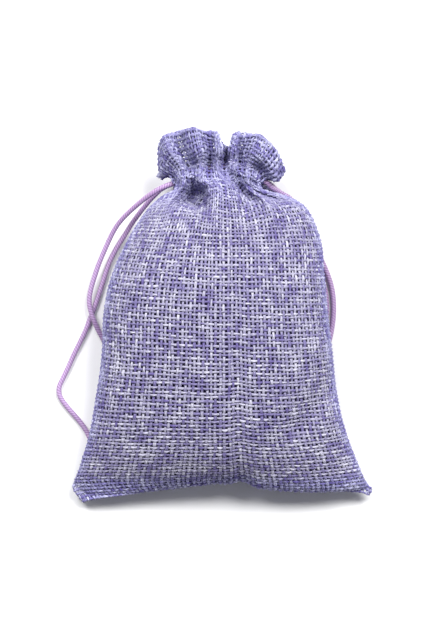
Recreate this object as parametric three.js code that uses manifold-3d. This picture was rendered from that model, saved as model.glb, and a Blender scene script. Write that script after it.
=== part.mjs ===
import * as THREE from 'three';
import { mergeVertices } from 'three/addons/utils/BufferGeometryUtils.js';
import Module from 'manifold-3d';

// Lavender sachet: a drawstring pouch of open linen weave, filled, drawn shut and lying on its back.
// Millimetres. X runs across the pouch, Y from its bottom seam to its mouth, Z up from the table.

// Driving dimensions
const pouchWidth = 100; // corner to corner as it lies
const pouchLength = 124.6; // bottom corners to the top of the header
const pouchDepth = 37.6; // table to the crown of the filling
const pouchMiddle = { x: -0.4, y: -0.2 }; // keeps the pouch itself centred on the origin
const clothThickness = 0.9;
const hemThickness = 1.6; // two layers where the mouth is folded in
const seamGap = 0.3; // between the two panels along every seam
const casingWidth = 5.6; // between its two stitched walls
const cordDiameter = 1.7;
const cordClearance = 0.35;
const cordSpacing = 2.2; // between the two cords lying side by side in the tunnel
const cordCrossing = 2.1; // height between the cords where they change sides
const cordEndGap = 0.3; // where a strand meets its neck loop or its knot
const knotDiameter = 4.1;
const knotLength = 4.4;
const tailLength = 6;
const seamThreadDiameter = 0.9;
const stitchThreadDiameter = 0.6;
const threadClearance = 0.35;
const fillClearance = 0.5;
const fillEdgeInset = 3.6; // the buds stop short of the seams
const fillPleatRoom = 3; // the buds keep further off the pleats of the shoulder, for each row of the table

// The tables below are drawn for this size and follow the driving dimensions
const drawn = { width: 100, length: 124.6, depth: 37.6 };
const across = pouchWidth / drawn.width;
const along = pouchLength / drawn.length;
const upward = pouchDepth / drawn.depth;
const neckZ = 13.2 * upward; // seam plane of the gathered neck
const cordRadius = cordDiameter / 2;

// Rows of the filled body from the bottom seam to the shoulder: where the two side seams run,
// how high they lie, and the middle of the row on the crown and on the underside
const bodyRows = [
  { left: [-44.7, -62.2], right: [48.9, -59.6], seamZ: 5.0, midY: -57.2, topZ: 9.0, underZ: 9.0, turn: 1 },
  { left: [-49.2, -55.8], right: [50.2, -57.0], seamZ: 6.4, midY: -55.3, topZ: 14.2, underZ: 4.6, turn: 0.9 },
  { left: [-47.6, -49.5], right: [47.6, -50.4], seamZ: 8.4, midY: -51.6, topZ: 20.0, underZ: 1.6, turn: 0.65 },
  { left: [-44.6, -40.0], right: [43.2, -40.0], seamZ: 10.8, midY: -44.2, topZ: 26.6, underZ: -0.6, turn: 0.45 },
  { left: [-42.2, -28.0], right: [40.0, -28.0], seamZ: 12.4, midY: -32.6, topZ: 32.6, underZ: -2.6, turn: 0.25 },
  { left: [-40.0, -13.5], right: [38.1, -13.5], seamZ: 13.5, midY: -17.4, topZ: 36.6, underZ: -4.0, turn: 0.1 },
  { left: [-39.3, 1.0], right: [36.4, 1.0], seamZ: 14.0, midY: -2.2, topZ: 37.6, underZ: -4.0, turn: 0 },
  { left: [-36.7, 13.5], right: [35.3, 14.0], seamZ: 14.0, midY: 11.8, topZ: 36.2, underZ: -4.0, turn: 0 },
  { left: [-31.2, 26.0], right: [33.9, 26.2], seamZ: 13.7, midY: 25.2, topZ: 32.0, underZ: -2.4, turn: 0, pleat: 0.12 },
  { left: [-24.8, 35.8], right: [27.5, 35.9], seamZ: 13.4, midY: 36.4, topZ: 26.4, underZ: 1.6, turn: 0, pleat: 0.52 },
];
const gatherDome = 8.5; // height of the neck if it were smooth: the pleats run out into the body from it
const sectionFullness = 0.82; // below 1 the crown is flatter and the flanks are steeper
const sideDraw = 1.3; // how late a row bends down to its side seams
const bottomSag = { left: 0.6, right: 1.8 }; // how far the bottom seam hangs between its middle and its corners
const bottomNotch = { x: 7.4, rise: 1.9, width: 3.4 }; // crease that lifts the bottom seam off centre
const dimple = { x: -8.3, y: 38.8, radius: 3.5, depth: 4.5 }; // pocket drawn in beside the middle fold

// Gathers of the front panel: share of the cloth from the left seam (-1) to the right seam (1), then x, y and
// height over the seam plane just under the casing, on it, where the header flares out and at the top edge.
// Low and high are the two stitched walls of the casing where a gather leaves their straight course.
const frontGathers = [
  {
    share: -1.0, under: [-20.6, 40.2, 0], casing: [-16.2, 45.3, 0], high: [-17.4, 46.2, 0],
    flare: [-19.2, 45.2, -1], top: [-20.9, 45.2, -3],
  },
  {
    share: -0.88, under: [-18.8, 40.7, 3.6], casing: [-15.4, 45.6, 4.4], high: [-17.2, 46.8, 3.8],
    flare: [-19.8, 47.4, 2.8], top: [-21.0, 50.4, 1.0],
  },
  {
    share: -0.72, under: [-16.6, 41.0, 6.2], casing: [-14.2, 46.0, 7.0],
    flare: [-19.0, 52.6, 6.4], top: [-20.9, 57.2, 5.0],
  },
  {
    share: -0.54, under: [-13.2, 41.2, 7.4], casing: [-12.2, 46.5, 8.6],
    flare: [-15.8, 54.4, 10.6], top: [-18.4, 60.0, 9.8],
  },
  {
    share: -0.36, under: [-8.6, 40.0, 0.4], casing: [-9.6, 47.2, 6.2],
    flare: [-12.4, 53.8, 2.6], top: [-14.6, 61.0, 3.4],
  },
  {
    share: -0.2, under: [-5.5, 41.2, 4.2], casing: [-7.8, 47.6, 8.2],
    flare: [-9.8, 54.6, 9.4], top: [-11.6, 61.8, 9.4],
  },
  {
    share: -0.11, under: [-4.0, 42.4, 9.4], casing: [-5.8, 47.9, 8.8],
    flare: [-6.0, 55.2, 11.8], top: [-7.6, 62.3, 11.4],
  },
  {
    share: -0.03, under: [-1.2, 43.0, 10.6], low: [-2.9, 45.7, 8.2], casing: [-3.4, 48.3, 6.2],
    flare: [-2.8, 54.8, 6.8], top: [-4.0, 61.0, 7.6],
  },
  {
    share: 0.05, under: [1.6, 43.1, 10.8], low: [-0.2, 46.0, 9.8], casing: [-1.0, 48.7, 9.0],
    flare: [-0.2, 53.8, 11.0], top: [-0.5, 59.4, 10.6],
  },
  {
    share: 0.13, under: [4.6, 42.8, 10.0], low: [2.7, 45.9, 9.4], casing: [1.5, 48.8, 6.4],
    flare: [1.9, 52.6, 4.6], top: [2.6, 56.4, 3.6],
  },
  {
    share: 0.26, under: [7.9, 41.8, 1.8], low: [5.6, 45.3, 4.6], casing: [3.9, 48.6, 8.6],
    flare: [4.0, 54.6, 9.6], top: [4.8, 59.6, 9.4],
  },
  {
    share: 0.38, under: [10.4, 42.0, 8.0], casing: [6.5, 48.1, 6.2],
    flare: [6.2, 54.4, 4.0], top: [8.4, 60.3, 5.4],
  },
  {
    share: 0.52, under: [12.6, 41.6, 3.8], casing: [9.2, 47.2, 8.4],
    flare: [10.8, 54.6, 11.0], top: [13.2, 60.1, 10.8],
  },
  {
    share: 0.76, under: [15.8, 41.4, 6.2], casing: [12.4, 46.1, 6.4], high: [13.4, 48.8, 5.6],
    flare: [16.2, 50.4, 10.0], top: [19.4, 54.6, 8.0],
  },
  {
    share: 0.9, under: [18.2, 40.8, 3.4], casing: [14.0, 45.6, 4.4], high: [15.8, 45.8, 4.4],
    flare: [18.8, 45.2, 5.8], top: [21.8, 49.2, 2.8],
  },
  {
    share: 1.0, under: [20.2, 40.2, 0], casing: [15.0, 45.2, 0], high: [16.2, 45.4, 0],
    flare: [19.4, 44.6, -1], top: [22.2, 48.0, -4],
  },
];
const casingRidge = 8.8; // height that the walls of the casing are creased from
const wallCrease = 1.3; // how much deeper the creases are at the walls
const edgeShare = 0.2; // part of the cloth beside a seam in which its thickness runs out
const fullHeight = 2.5; // height from which a gathered panel has its full thickness
const casingFloor = 0.03; // share of the height that stays open under the solid casing

// Gathers of the back panel, evenly drawn: fold count and heights under the seam plane
const backGathers = {
  folds: 10,
  under: { rise: 3.4, ridge: -9.2, valley: -6.0 },
  casing: { rise: 4.2, ridge: -8.9, valley: -6.7 },
  flare: { rise: 9.2, ridge: -9.8, valley: -5.4 },
  top: { rise: 9.6, ridge: -10.8, valley: -4.4 },
};

// Tunnel of the casing: straight at both ends so that the strands can be pulled, arched in the middle
const tunnel = { midX: 0.5, straightFrom: 5.5, straightY: 48.9, slope: 0.326, crownY: 49.8, height: 2.75 };
const slitReach = { left: -12.0, right: 10.8 }; // the side seams stay open from here outwards
const slitLength = 9;
const tunnelStops = [-20, -12, -5, -2.5, 0.5, 3.5, 6, 12, 20];
const loopStart = { left: -5.0, right: 6.0 }; // where the neck loops meet their own strands
const swapRun = 11; // length of tunnel in which the two cords change sides
const bightX = { left: -12.5, right: 11.3 }; // each cord turns round inside the far slit
const bightFullness = 0.95;

// Free strands from the tunnel to their knot: x, y and height of the cord's underside over the table
const leftFrontRoute = [
  [-5.0, 47.8, 15.1], [-11.0, 45.84, 15.1], [-18.2, 43.49, 15.1], [-23.0, 40.9, 13.9], [-28.2, 37.0, 10.6],
  [-33.2, 32.3, 7.0], [-36.0, 28.3, 5.0], [-38.4, 23.3, 3.6], [-40.9, 17.4, 2.7], [-42.4, 13.0, 2.3],
  [-43.6, 8.8, 2.15], [-44.1, 5.0, 2.1], [-43.6, 1.7, 2.1], [-42.5, -1.5, 2.0], [-41.0, -4.9, 1.3],
  [-39.2, -8.4, 0.5], [-37.8, -12.6, 0.1], [-37.2, -18.0, 0.05], [-37.6, -24.0, 0.05], [-38.8, -30.5, 0.1],
  [-40.3, -36.4, 0.5], [-41.4, -39.6, 0.9], [-41.85, -40.85, 1.1],
];
const leftBackRoute = [
  [-5.0, 47.8, 9.6], [-11.0, 45.84, 9.6], [-18.2, 43.49, 9.6], [-22.0, 40.6, 8.6], [-25.6, 36.6, 6.0],
  [-29.4, 31.6, 3.4], [-32.0, 27.5, 1.9], [-34.7, 23.3, 1.0], [-37.2, 18.4, 0.45], [-38.9, 13.4, 0.15],
  [-40.5, 8.4, 0.05], [-42.2, 3.4, 0.05], [-43.8, -0.7, 0.05], [-45.3, -4.7, 0.05], [-47.2, -8.7, 0.05],
  [-49.2, -12.7, 0.05], [-51.0, -16.8, 0.05], [-52.9, -20.8, 0.05], [-54.3, -24.0, 0.05], [-54.0, -27.2, 0.05],
  [-51.4, -30.9, 0.05], [-48.0, -34.8, 0.05], [-45.6, -38.0, 0.3], [-44.2, -40.6, 0.9], [-43.4, -42.1, 1.1],
];
const rightFrontRoute = [
  [6.0, 47.8, 15.1], [11.0, 46.17, 15.1], [15.4, 44.73, 15.1], [17.1, 43.1, 13.9], [19.0, 42.0, 11.6],
  [21.1, 40.95, 9.6], [23.4, 39.6, 7.8], [25.7, 37.5, 6.0], [27.9, 34.9, 4.2], [29.6, 31.5, 3.0], [31.0, 27.6, 2.1],
  [32.4, 23.8, 1.4], [34.0, 19.6, 0.7], [36.0, 15.0, 0.2],
  [37.4, 11.0, 0.05], [38.2, 6.8, 0.05], [38.4, 1.8, 0.05], [38.0, -3.0, 0.05], [37.1, -7.6, 0.05],
  [35.8, -12.0, 0.05], [34.9, -17.0, 0.05], [34.6, -24.0, 0.05], [35.6, -31.0, 0.1], [37.8, -37.0, 0.6],
  [39.2, -40.2, 1.0], [39.9, -41.55, 1.1],
];
const rightBackRoute = [
  [6.0, 47.8, 9.6], [11.0, 46.17, 9.6], [16.4, 44.41, 9.6], [18.4, 42.9, 7.8], [20.8, 41.0, 5.6],
  [22.9, 37.6, 3.8], [24.3, 33.8, 2.4], [26.2, 29.6, 1.2], [28.6, 25.0, 0.4], [31.3, 19.8, 0.1],
  [33.4, 15.2, 0.05],
  [34.9, 11.0, 0.05], [35.8, 6.8, 0.05], [36.1, 1.8, 0.05], [35.7, -3.2, 0.05], [34.8, -8.0, 0.05],
  [33.4, -12.6, 0.05], [32.5, -17.8, 0.05], [32.3, -24.5, 0.05], [33.3, -31.8, 0.1], [35.4, -38.0, 0.6],
  [37.2, -41.3, 1.0], [38.0, -42.65, 1.1],
];
const leftKnot = { at: [-40.95, -43.6], axis: [0.62, -0.78], lift: 0.35 };
const rightKnot = { at: [40.25, -44.35], axis: [0.5, -0.87], lift: 0.35 };

// Where the threads and the buds lie, in rows of the tables and shares of the cloth
const sideSeamRows = { first: 2.2, last: 9.8, count: 26 };
const bottomSeamShares = { reach: 0.56, count: 24 };
const stitching = { from: -0.74, to: 0.7, offset: 0.95, steps: 44 };
const fillRows = { first: 0.7, last: 8.8, count: 16 };

// Surface counts
const shareStep = 0.06; // of the front panel between two gathers
const backColumns = 30;
const fillColumns = 18;
const rowsPerBodyRow = 1.6;
const rowsPerGather = 3;
const cordSides = 8;
const seamThreadSides = 6;
const stitchThreadSides = 5;
const strandSteps = 38;
const loopSteps = 40;

const colours = {
  cloth: 0x9c93cf,
  clothBack: 0x978dcb,
  buds: 0x6a5a8e,
  cord: 0xc98fd6,
  thread: 0xb9b3de,
};

const wasm = await Module();
wasm.setup();

// Small helpers
const mix = (a, b, s) => a + (b - a) * s;
const clamp01 = (s) => Math.min(1, Math.max(0, s));
const smooth = (s) => s * s * (3 - 2 * s);
const evenSteps = (count, from, to) => Array.from({ length: count }, (unused, i) => mix(from, to, i / (count - 1)));

function material(colour, roughness) {
  return new THREE.MeshStandardMaterial({ color: colour, roughness, metalness: 0 });
}

function place(x, y, z) {
  return new THREE.Vector3(x * across + pouchMiddle.x, y * along + pouchMiddle.y, z * upward);
}

// A smooth value through a list of stations
function through(values, at) {
  const last = values.length - 1;
  const k = Math.min(last - 1, Math.floor(at));
  const s = at - k;
  const [p0, p1, p2, p3] = [Math.max(0, k - 1), k, k + 1, Math.min(last, k + 2)].map((i) => values[i]);
  const bend = 2 * p0 - 5 * p1 + 4 * p2 - p3;
  const twist = -p0 + 3 * p1 - 3 * p2 + p3;
  return 0.5 * (2 * p1 + (p2 - p0) * s + bend * s * s + twist * s * s * s);
}

// One point of a body row: side is 1 on the crown and -1 on the underside
function bodyPoint(row, share, side, inset) {
  const angle = share * Math.PI / 2;
  const reach = Math.abs(Math.sin(angle));
  const dome = Math.pow(Math.max(0, Math.cos(angle)), sectionFullness);
  const seam = share < 0 ? row.left : row.right;
  const x = (Math.abs(seam[0]) - inset.edge) * Math.sin(angle);
  const bottom = row.turn * row.turn;
  const notch = bottomNotch.rise * bottom * Math.exp(-(((x - bottomNotch.x) / bottomNotch.width) ** 2));
  const sag = (share < 0 ? bottomSag.left : bottomSag.right) * bottom * Math.sin(Math.PI * reach);
  const y = mix(row.midY, seam[1], Math.pow(reach, sideDraw)) - sag + notch + inset.edge * row.turn;
  const middleZ = side > 0 ? row.topZ - inset.face * (1 - row.turn) : row.underZ + inset.face * (1 - row.turn);
  const pleat = side > 0 ? (row.pleat ?? 0) * (gatherAt(frontGathers, 'under', share)[2] - gatherDome * dome) : 0;
  return [x, y, mix(row.seamZ, middleZ, dome) + pleat];
}

// Smooth place along the gathers of one level
function gatherAt(list, level, share) {
  let k = 0;
  while (k < list.length - 2 && share > list[k + 1].share) k += 1;
  const before = list[Math.max(0, k - 1)];
  const from = list[k];
  const to = list[k + 1];
  const after = list[Math.min(list.length - 1, k + 2)];
  const run = to.share - from.share;
  const s = clamp01((share - from.share) / run);
  return [0, 1, 2].map((axis) => {
    const start = from[level][axis];
    const step = to[level][axis] - start;
    const leave = run * (to[level][axis] - before[level][axis]) / (to.share - before.share);
    const arrive = run * (after[level][axis] - start) / (after.share - from.share);
    return start + s * leave + s * s * (3 * step - 2 * leave - arrive) + s * s * s * (leave + arrive - 2 * step);
  });
}

// The seam plane between the two ends of a level
function edgeHeight(list, level, share) {
  return mix(list[0][level][2], list[list.length - 1][level][2], (share + 1) / 2);
}

// How much of the thickness is left beside a seam
function awayFromSeam(share) {
  return clamp01((1 - Math.abs(share)) / edgeShare);
}

// One point of a gathered row: heights are drawn in from the outer face by the inset
function gatherPoint(list, level, share, side, inset) {
  const [x, y, outer] = gatherAt(list, level, share);
  const edge = edgeHeight(list, level, share);
  const height = (outer - edge) * side;
  const inner = inset.solid ? height * casingFloor : height - inset.face * clamp01(height / fullHeight);
  const drawnIn = Math.sign(share) * inset.edge * (1 - awayFromSeam(share));
  return [x - drawnIn, y, neckZ / upward + edge + inner * side];
}

function backGatherList() {
  const ends = [frontGathers[0], frontGathers[frontGathers.length - 1]];
  return Array.from({ length: backGathers.folds + 1 }, (unused, k) => {
    const s = k / backGathers.folds;
    if (k === 0 || k === backGathers.folds) return { ...ends[s], share: mix(-1, 1, s) };
    const station = { share: mix(-1, 1, s) };
    for (const level of ['under', 'casing', 'flare', 'top']) {
      const fold = backGathers[level];
      const [x, y] = [0, 1].map((axis) => mix(ends[0][level][axis], ends[1][level][axis], s));
      station[level] = [x, y + fold.rise * Math.sin(Math.PI * s), k % 2 ? fold.ridge : fold.valley];
    }
    return station;
  });
}

// The stitched walls of the casing, where a gather does not place them itself
function walled(list) {
  const wall = casingWidth / 2 / along;
  return list.map((gather) => {
    const [x, y, height] = gather.casing;
    const crease = Math.sign(height) * (casingRidge - Math.abs(height)) * (wallCrease - 1);
    const pinched = Math.abs(height) > casingRidge / 2 ? height - crease : height;
    return { low: [x, y - wall, pinched], high: [x, y + wall, pinched], ...gather };
  });
}
const gathers = { 1: walled(frontGathers), '-1': walled(backGatherList()) };
const gatherLevels = ['under', 'low', 'casing', 'high', 'flare', 'top'];
const solidLevels = ['low', 'casing', 'high'];
const hemLevels = ['flare', 'top'];
const casingRow = bodyRows.length + gatherLevels.indexOf('casing');

function levelInset(level, inset) {
  if (solidLevels.includes(level)) return { ...inset, solid: inset.edge > 0 };
  if (hemLevels.includes(level)) return { edge: inset.edge, face: inset.face > 0 ? hemThickness : 0 };
  return inset;
}

// A point of the pouch: row runs from the bottom seam to the top edge of the header
function pouchPoint(row, share, side, inset) {
  const list = gathers[side];
  const stations = bodyRows.map((body) => bodyPoint(body, share, side, inset));
  stations.push(...gatherLevels.map((level) => gatherPoint(list, level, share, side, levelInset(level, inset))));
  const seamHeights = bodyRows.map((body) => body.seamZ);
  seamHeights.push(...gatherLevels.map((level) => neckZ / upward + edgeHeight(list, level, share)));
  const [x, y, faceZ] = [0, 1, 2].map((axis) => through(stations.map((p) => p[axis]), row));
  const seamZ = through(seamHeights, row);
  const away = Math.hypot(x - dimple.x, y - dimple.y) / dimple.radius;
  const outerZ = side > 0 ? faceZ - dimple.depth * Math.exp(-away * away) : faceZ;
  const least = inset.edge > 0 ? 0 : clothThickness * awayFromSeam(share);
  const z = row > bodyRows.length - 1 ? seamZ + side * Math.max(least, side * (outerZ - seamZ)) : outerZ;
  const point = place(x, y, z);
  point.z += side * seamGap / 2;
  if (side < 0) point.z = Math.max(point.z, inset.face);
  return point;
}

// Columns of a panel: the front follows its gathers, the back is even
function columnShares(side) {
  if (side < 0) return Array.from({ length: backColumns + 1 }, (unused, c) => mix(-1, 1, c / backColumns));
  const shares = frontGathers.slice(1).flatMap((gather, k) => {
    const from = frontGathers[k].share;
    const steps = Math.max(2, Math.round((gather.share - from) / shareStep));
    return Array.from({ length: steps }, (unused, i) => mix(from, gather.share, i / steps));
  });
  return [...shares, 1];
}

function rowStations() {
  const bodyCount = Math.round((bodyRows.length - 1) * rowsPerBodyRow);
  const gatherCount = gatherLevels.length * rowsPerGather;
  const body = Array.from({ length: bodyCount }, (unused, i) => i * (bodyRows.length - 1) / bodyCount);
  const neck = Array.from({ length: gatherCount + 1 }, (unused, i) => bodyRows.length - 1 + i / rowsPerGather);
  return [...body, ...neck];
}

function grid(side, inset) {
  return rowStations().map((row) => columnShares(side).map((share) => pouchPoint(row, share, side, inset)));
}

function geometryFrom(points, faces) {
  const geometry = new THREE.BufferGeometry();
  geometry.setAttribute('position', new THREE.Float32BufferAttribute(points.flatMap((p) => p.toArray()), 3));
  geometry.setIndex(faces.flat());
  geometry.computeVertexNormals();
  return geometry;
}

// Two grids of points joined round their rims: a sheet with a thickness
function sheetGeometry(outer, inner, side) {
  const rows = outer.length;
  const cols = outer[0].length;
  const at = (layer, r, c) => layer * rows * cols + r * cols + c;
  const faces = [];
  const quad = (a, b, c, d) => {
    const turned = side > 0 ? [[a, b, c], [a, c, d]] : [[a, c, b], [a, d, c]];
    faces.push(...turned);
  };
  for (let r = 0; r < rows - 1; r += 1) {
    for (let c = 0; c < cols - 1; c += 1) {
      quad(at(0, r, c), at(0, r, c + 1), at(0, r + 1, c + 1), at(0, r + 1, c));
      quad(at(1, r, c), at(1, r + 1, c), at(1, r + 1, c + 1), at(1, r, c + 1));
    }
    quad(at(0, r, 0), at(0, r + 1, 0), at(1, r + 1, 0), at(1, r, 0));
    quad(at(0, r, cols - 1), at(1, r, cols - 1), at(1, r + 1, cols - 1), at(0, r + 1, cols - 1));
  }
  for (let c = 0; c < cols - 1; c += 1) {
    quad(at(0, 0, c), at(1, 0, c), at(1, 0, c + 1), at(0, 0, c + 1));
    quad(at(0, rows - 1, c), at(0, rows - 1, c + 1), at(1, rows - 1, c + 1), at(1, rows - 1, c));
  }
  return geometryFrom([...outer.flat(), ...inner.flat()], faces);
}

function solidOf(geometry) {
  const bare = new THREE.BufferGeometry();
  bare.setAttribute('position', geometry.getAttribute('position').clone());
  if (geometry.index) bare.setIndex(geometry.index.clone());
  const merged = mergeVertices(bare, 1e-4);
  const vertProperties = new Float32Array(merged.getAttribute('position').array);
  const triVerts = new Uint32Array(merged.index.array);
  return new wasm.Manifold(new wasm.Mesh({ numProp: 3, vertProperties, triVerts }));
}

function geometryOf(solid) {
  const mesh = solid.getMesh();
  const geometry = new THREE.BufferGeometry();
  geometry.setAttribute('position', new THREE.BufferAttribute(new Float32Array(mesh.vertProperties), 3));
  geometry.setIndex(new THREE.BufferAttribute(new Uint32Array(mesh.triVerts), 1));
  geometry.computeVertexNormals();
  return geometry;
}

function roundOutline(radius, sides) {
  const points = Array.from({ length: sides }, (unused, i) => {
    const angle = (i + 0.5) * 2 * Math.PI / sides;
    return new THREE.Vector2(radius * Math.cos(angle), radius * Math.sin(angle));
  });
  return new THREE.Shape(points);
}

function tubeGeometry(points, diameter, steps, sides) {
  const extrudePath = new THREE.CatmullRomCurve3(points, false, 'centripetal');
  return new THREE.ExtrudeGeometry(roundOutline(diameter / 2, sides), { steps, extrudePath, bevelEnabled: false });
}

// Casing tunnel
function tunnelY(x) {
  const out = Math.abs(x - tunnel.midX) - tunnel.straightFrom;
  if (out >= 0) return tunnel.straightY - tunnel.slope * out;
  const s = -out / tunnel.straightFrom;
  const rise = tunnel.crownY - tunnel.straightY;
  return tunnel.straightY + tunnel.slope * tunnel.straightFrom * s * (1 - s) * (1 - s) + rise * smooth(s);
}

function tunnelPoint(x, sideways, height) {
  const point = place(x, tunnelY(x), 0);
  point.y += sideways;
  point.z = neckZ + height;
  return point;
}

function tunnelTool(side) {
  const path = new THREE.CatmullRomCurve3(tunnelStops.map((x) => tunnelPoint(x, 0, side * tunnel.height)));
  const halfWide = cordSpacing / 2 + cordRadius + cordClearance;
  const halfHigh = cordCrossing / 2 + cordRadius + cordClearance;
  const corner = cordRadius;
  const shape = new THREE.Shape();
  shape.moveTo(-halfHigh + corner, -halfWide);
  shape.lineTo(halfHigh - corner, -halfWide);
  shape.absarc(halfHigh - corner, -halfWide + corner, corner, -Math.PI / 2, 0, false);
  shape.lineTo(halfHigh, halfWide - corner);
  shape.absarc(halfHigh - corner, halfWide - corner, corner, 0, Math.PI / 2, false);
  shape.lineTo(-halfHigh + corner, halfWide);
  shape.absarc(-halfHigh + corner, halfWide - corner, corner, Math.PI / 2, Math.PI, false);
  shape.lineTo(-halfHigh, -halfWide + corner);
  shape.absarc(-halfHigh + corner, -halfWide + corner, corner, Math.PI, Math.PI * 1.5, false);
  return solidOf(new THREE.ExtrudeGeometry(shape, { steps: 20, extrudePath: path, bevelEnabled: false, curveSegments: 2 }));
}

// Open slit of a side seam at the casing, where the cords come out
function slitTool(fromX) {
  const wide = cordSpacing + cordDiameter + 2 * cordClearance;
  const high = 2 * (tunnel.height + cordCrossing / 2 + cordRadius);
  const outward = Math.sign(fromX);
  const box = new THREE.BoxGeometry(slitLength, wide, high);
  const start = tunnelPoint(fromX, 0, 0);
  box.translate(outward * slitLength / 2, 0, 0);
  box.rotateZ(-outward * Math.atan(tunnel.slope));
  box.translate(start.x, start.y, start.z);
  return solidOf(box);
}

function panel(name, side, colour) {
  const outer = grid(side, { edge: 0, face: 0 });
  const inner = grid(side, { edge: clothThickness, face: clothThickness });
  const cloth = solidOf(sheetGeometry(outer, inner, side));
  const slits = slitTool(slitReach.left).add(slitTool(slitReach.right));
  const cut = cloth.subtract(tunnelTool(side)).subtract(slits);
  const mesh = new THREE.Mesh(geometryOf(cut), material(colour, 0.95));
  mesh.name = name;
  return mesh;
}

// Dried buds: rings round the inside of both panels, closed at both ends
function filling() {
  const rows = evenSteps(fillRows.count, fillRows.first, fillRows.last);
  const rings = rows.map((row) => {
    const room = fillPleatRoom * Math.max(0, row - bodyRows.findIndex((body) => body.pleat) + 1);
    const inset = { edge: fillEdgeInset, face: clothThickness + fillClearance + room };
    const ring = [];
    for (let c = 0; c <= fillColumns; c += 1) ring.push(pouchPoint(row, mix(-1, 1, c / fillColumns), 1, inset));
    for (let c = fillColumns - 1; c > 0; c -= 1) ring.push(pouchPoint(row, mix(-1, 1, c / fillColumns), -1, inset));
    return ring;
  });
  const count = rings[0].length;
  const at = (r, c) => r * count + (c + count) % count;
  const faces = [];
  for (let r = 0; r < rings.length - 1; r += 1) {
    for (let c = 0; c < count; c += 1) {
      faces.push([at(r, c), at(r, c + 1), at(r + 1, c + 1)], [at(r, c), at(r + 1, c + 1), at(r + 1, c)]);
    }
  }
  const top = rings.length - 1;
  for (let c = 0; c < fillColumns; c += 1) {
    faces.push([at(0, c), at(0, -c), at(0, c + 1)], [at(0, -c), at(0, -c - 1), at(0, c + 1)]);
    faces.push([at(top, c), at(top, c + 1), at(top, -c)], [at(top, -c), at(top, c + 1), at(top, -c - 1)]);
  }
  const used = faces.filter((f) => new Set(f).size === 3);
  const mesh = new THREE.Mesh(geometryFrom(rings.flat(), used), material(colours.buds, 1));
  mesh.name = 'lavender_fill';
  return mesh;
}

// Threads of the closing seams run just inside the edges of both panels
function sideSeam(name, share) {
  const inset = clothThickness + threadClearance + seamThreadDiameter / 2;
  const points = evenSteps(sideSeamRows.count, sideSeamRows.first, sideSeamRows.last).map((row) => {
    const front = pouchPoint(row, share, 1, { edge: inset, face: clothThickness });
    const back = pouchPoint(row, share, -1, { edge: inset, face: clothThickness });
    return front.add(back).multiplyScalar(0.5);
  });
  return thread(name, points, seamThreadDiameter, sideSeamRows.count, seamThreadSides);
}

function bottomSeam() {
  const inset = clothThickness + threadClearance + seamThreadDiameter / 2;
  const shares = evenSteps(bottomSeamShares.count, -bottomSeamShares.reach, bottomSeamShares.reach);
  const points = shares.map((share) => {
    const front = pouchPoint(0, share, 1, { edge: inset, face: 0 });
    const back = pouchPoint(0, share, -1, { edge: inset, face: 0 });
    return front.add(back).multiplyScalar(0.5);
  });
  return thread('bottom_seam', points, seamThreadDiameter, bottomSeamShares.count, seamThreadSides);
}

// Stitch rows that wall off the casing lie on the gathered face
function stitchRow(name, side, row) {
  const lift = threadClearance + stitchThreadDiameter * 0.75;
  const shares = columnShares(side).filter((share) => share > stitching.from && share < stitching.to);
  const points = shares.map((share) => {
    const point = pouchPoint(row, share, side, { edge: 0, face: 0 });
    point.z += side * lift;
    return point;
  });
  return thread(name, points, stitchThreadDiameter, stitching.steps, stitchThreadSides);
}

function thread(name, points, diameter, steps, sides) {
  const mesh = new THREE.Mesh(tubeGeometry(points, diameter, steps, sides), material(colours.thread, 0.8));
  mesh.name = name;
  return mesh;
}

// Cords
function cordMesh(name, points, steps) {
  const mesh = new THREE.Mesh(tubeGeometry(points, cordDiameter, steps, cordSides), material(colours.cord, 0.45));
  mesh.name = name;
  return mesh;
}

function strand(name, route) {
  const points = route.map(([x, y, lift]) => {
    const point = place(x, y, 0);
    point.z = lift * upward + cordRadius;
    return point;
  });
  return cordMesh(name, points, strandSteps);
}

// A neck loop starts at its own strand, changes sides with the other cord in the middle of the tunnel,
// turns round in the far slit and comes back through the tunnel of the other panel
function neckLoop(name, ownSide) {
  const headX = ownSide < 0 ? loopStart.left : loopStart.right;
  const turnX = ownSide < 0 ? bightX.right : bightX.left;
  const away = -ownSide;
  const lane = cordSpacing / 2;
  const half = (face) => [0, 0.12, 0.25, 0.38, 0.5, 0.62, 0.75, 0.88, 1].map((s) => {
    const start = headX + away * cordEndGap;
    const x = mix(start, turnX, s);
    const swap = smooth(clamp01(Math.abs(x - headX) / swapRun));
    const crossing = Math.sin(Math.PI * clamp01(Math.abs(x - headX) / swapRun)) ** 2;
    const height = tunnel.height + ownSide * crossing * cordCrossing / 2;
    return tunnelPoint(x, mix(-lane, lane, swap), face * height);
  });
  const turn = [0.2, 0.4, 0.6, 0.8].map((s) => {
    const angle = Math.PI * s;
    const x = turnX + away * tunnel.height * Math.sin(angle) * bightFullness;
    return tunnelPoint(x, lane, tunnel.height * Math.cos(angle));
  });
  return cordMesh(name, [...half(1), ...turn, ...half(-1).reverse()], loopSteps);
}

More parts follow.
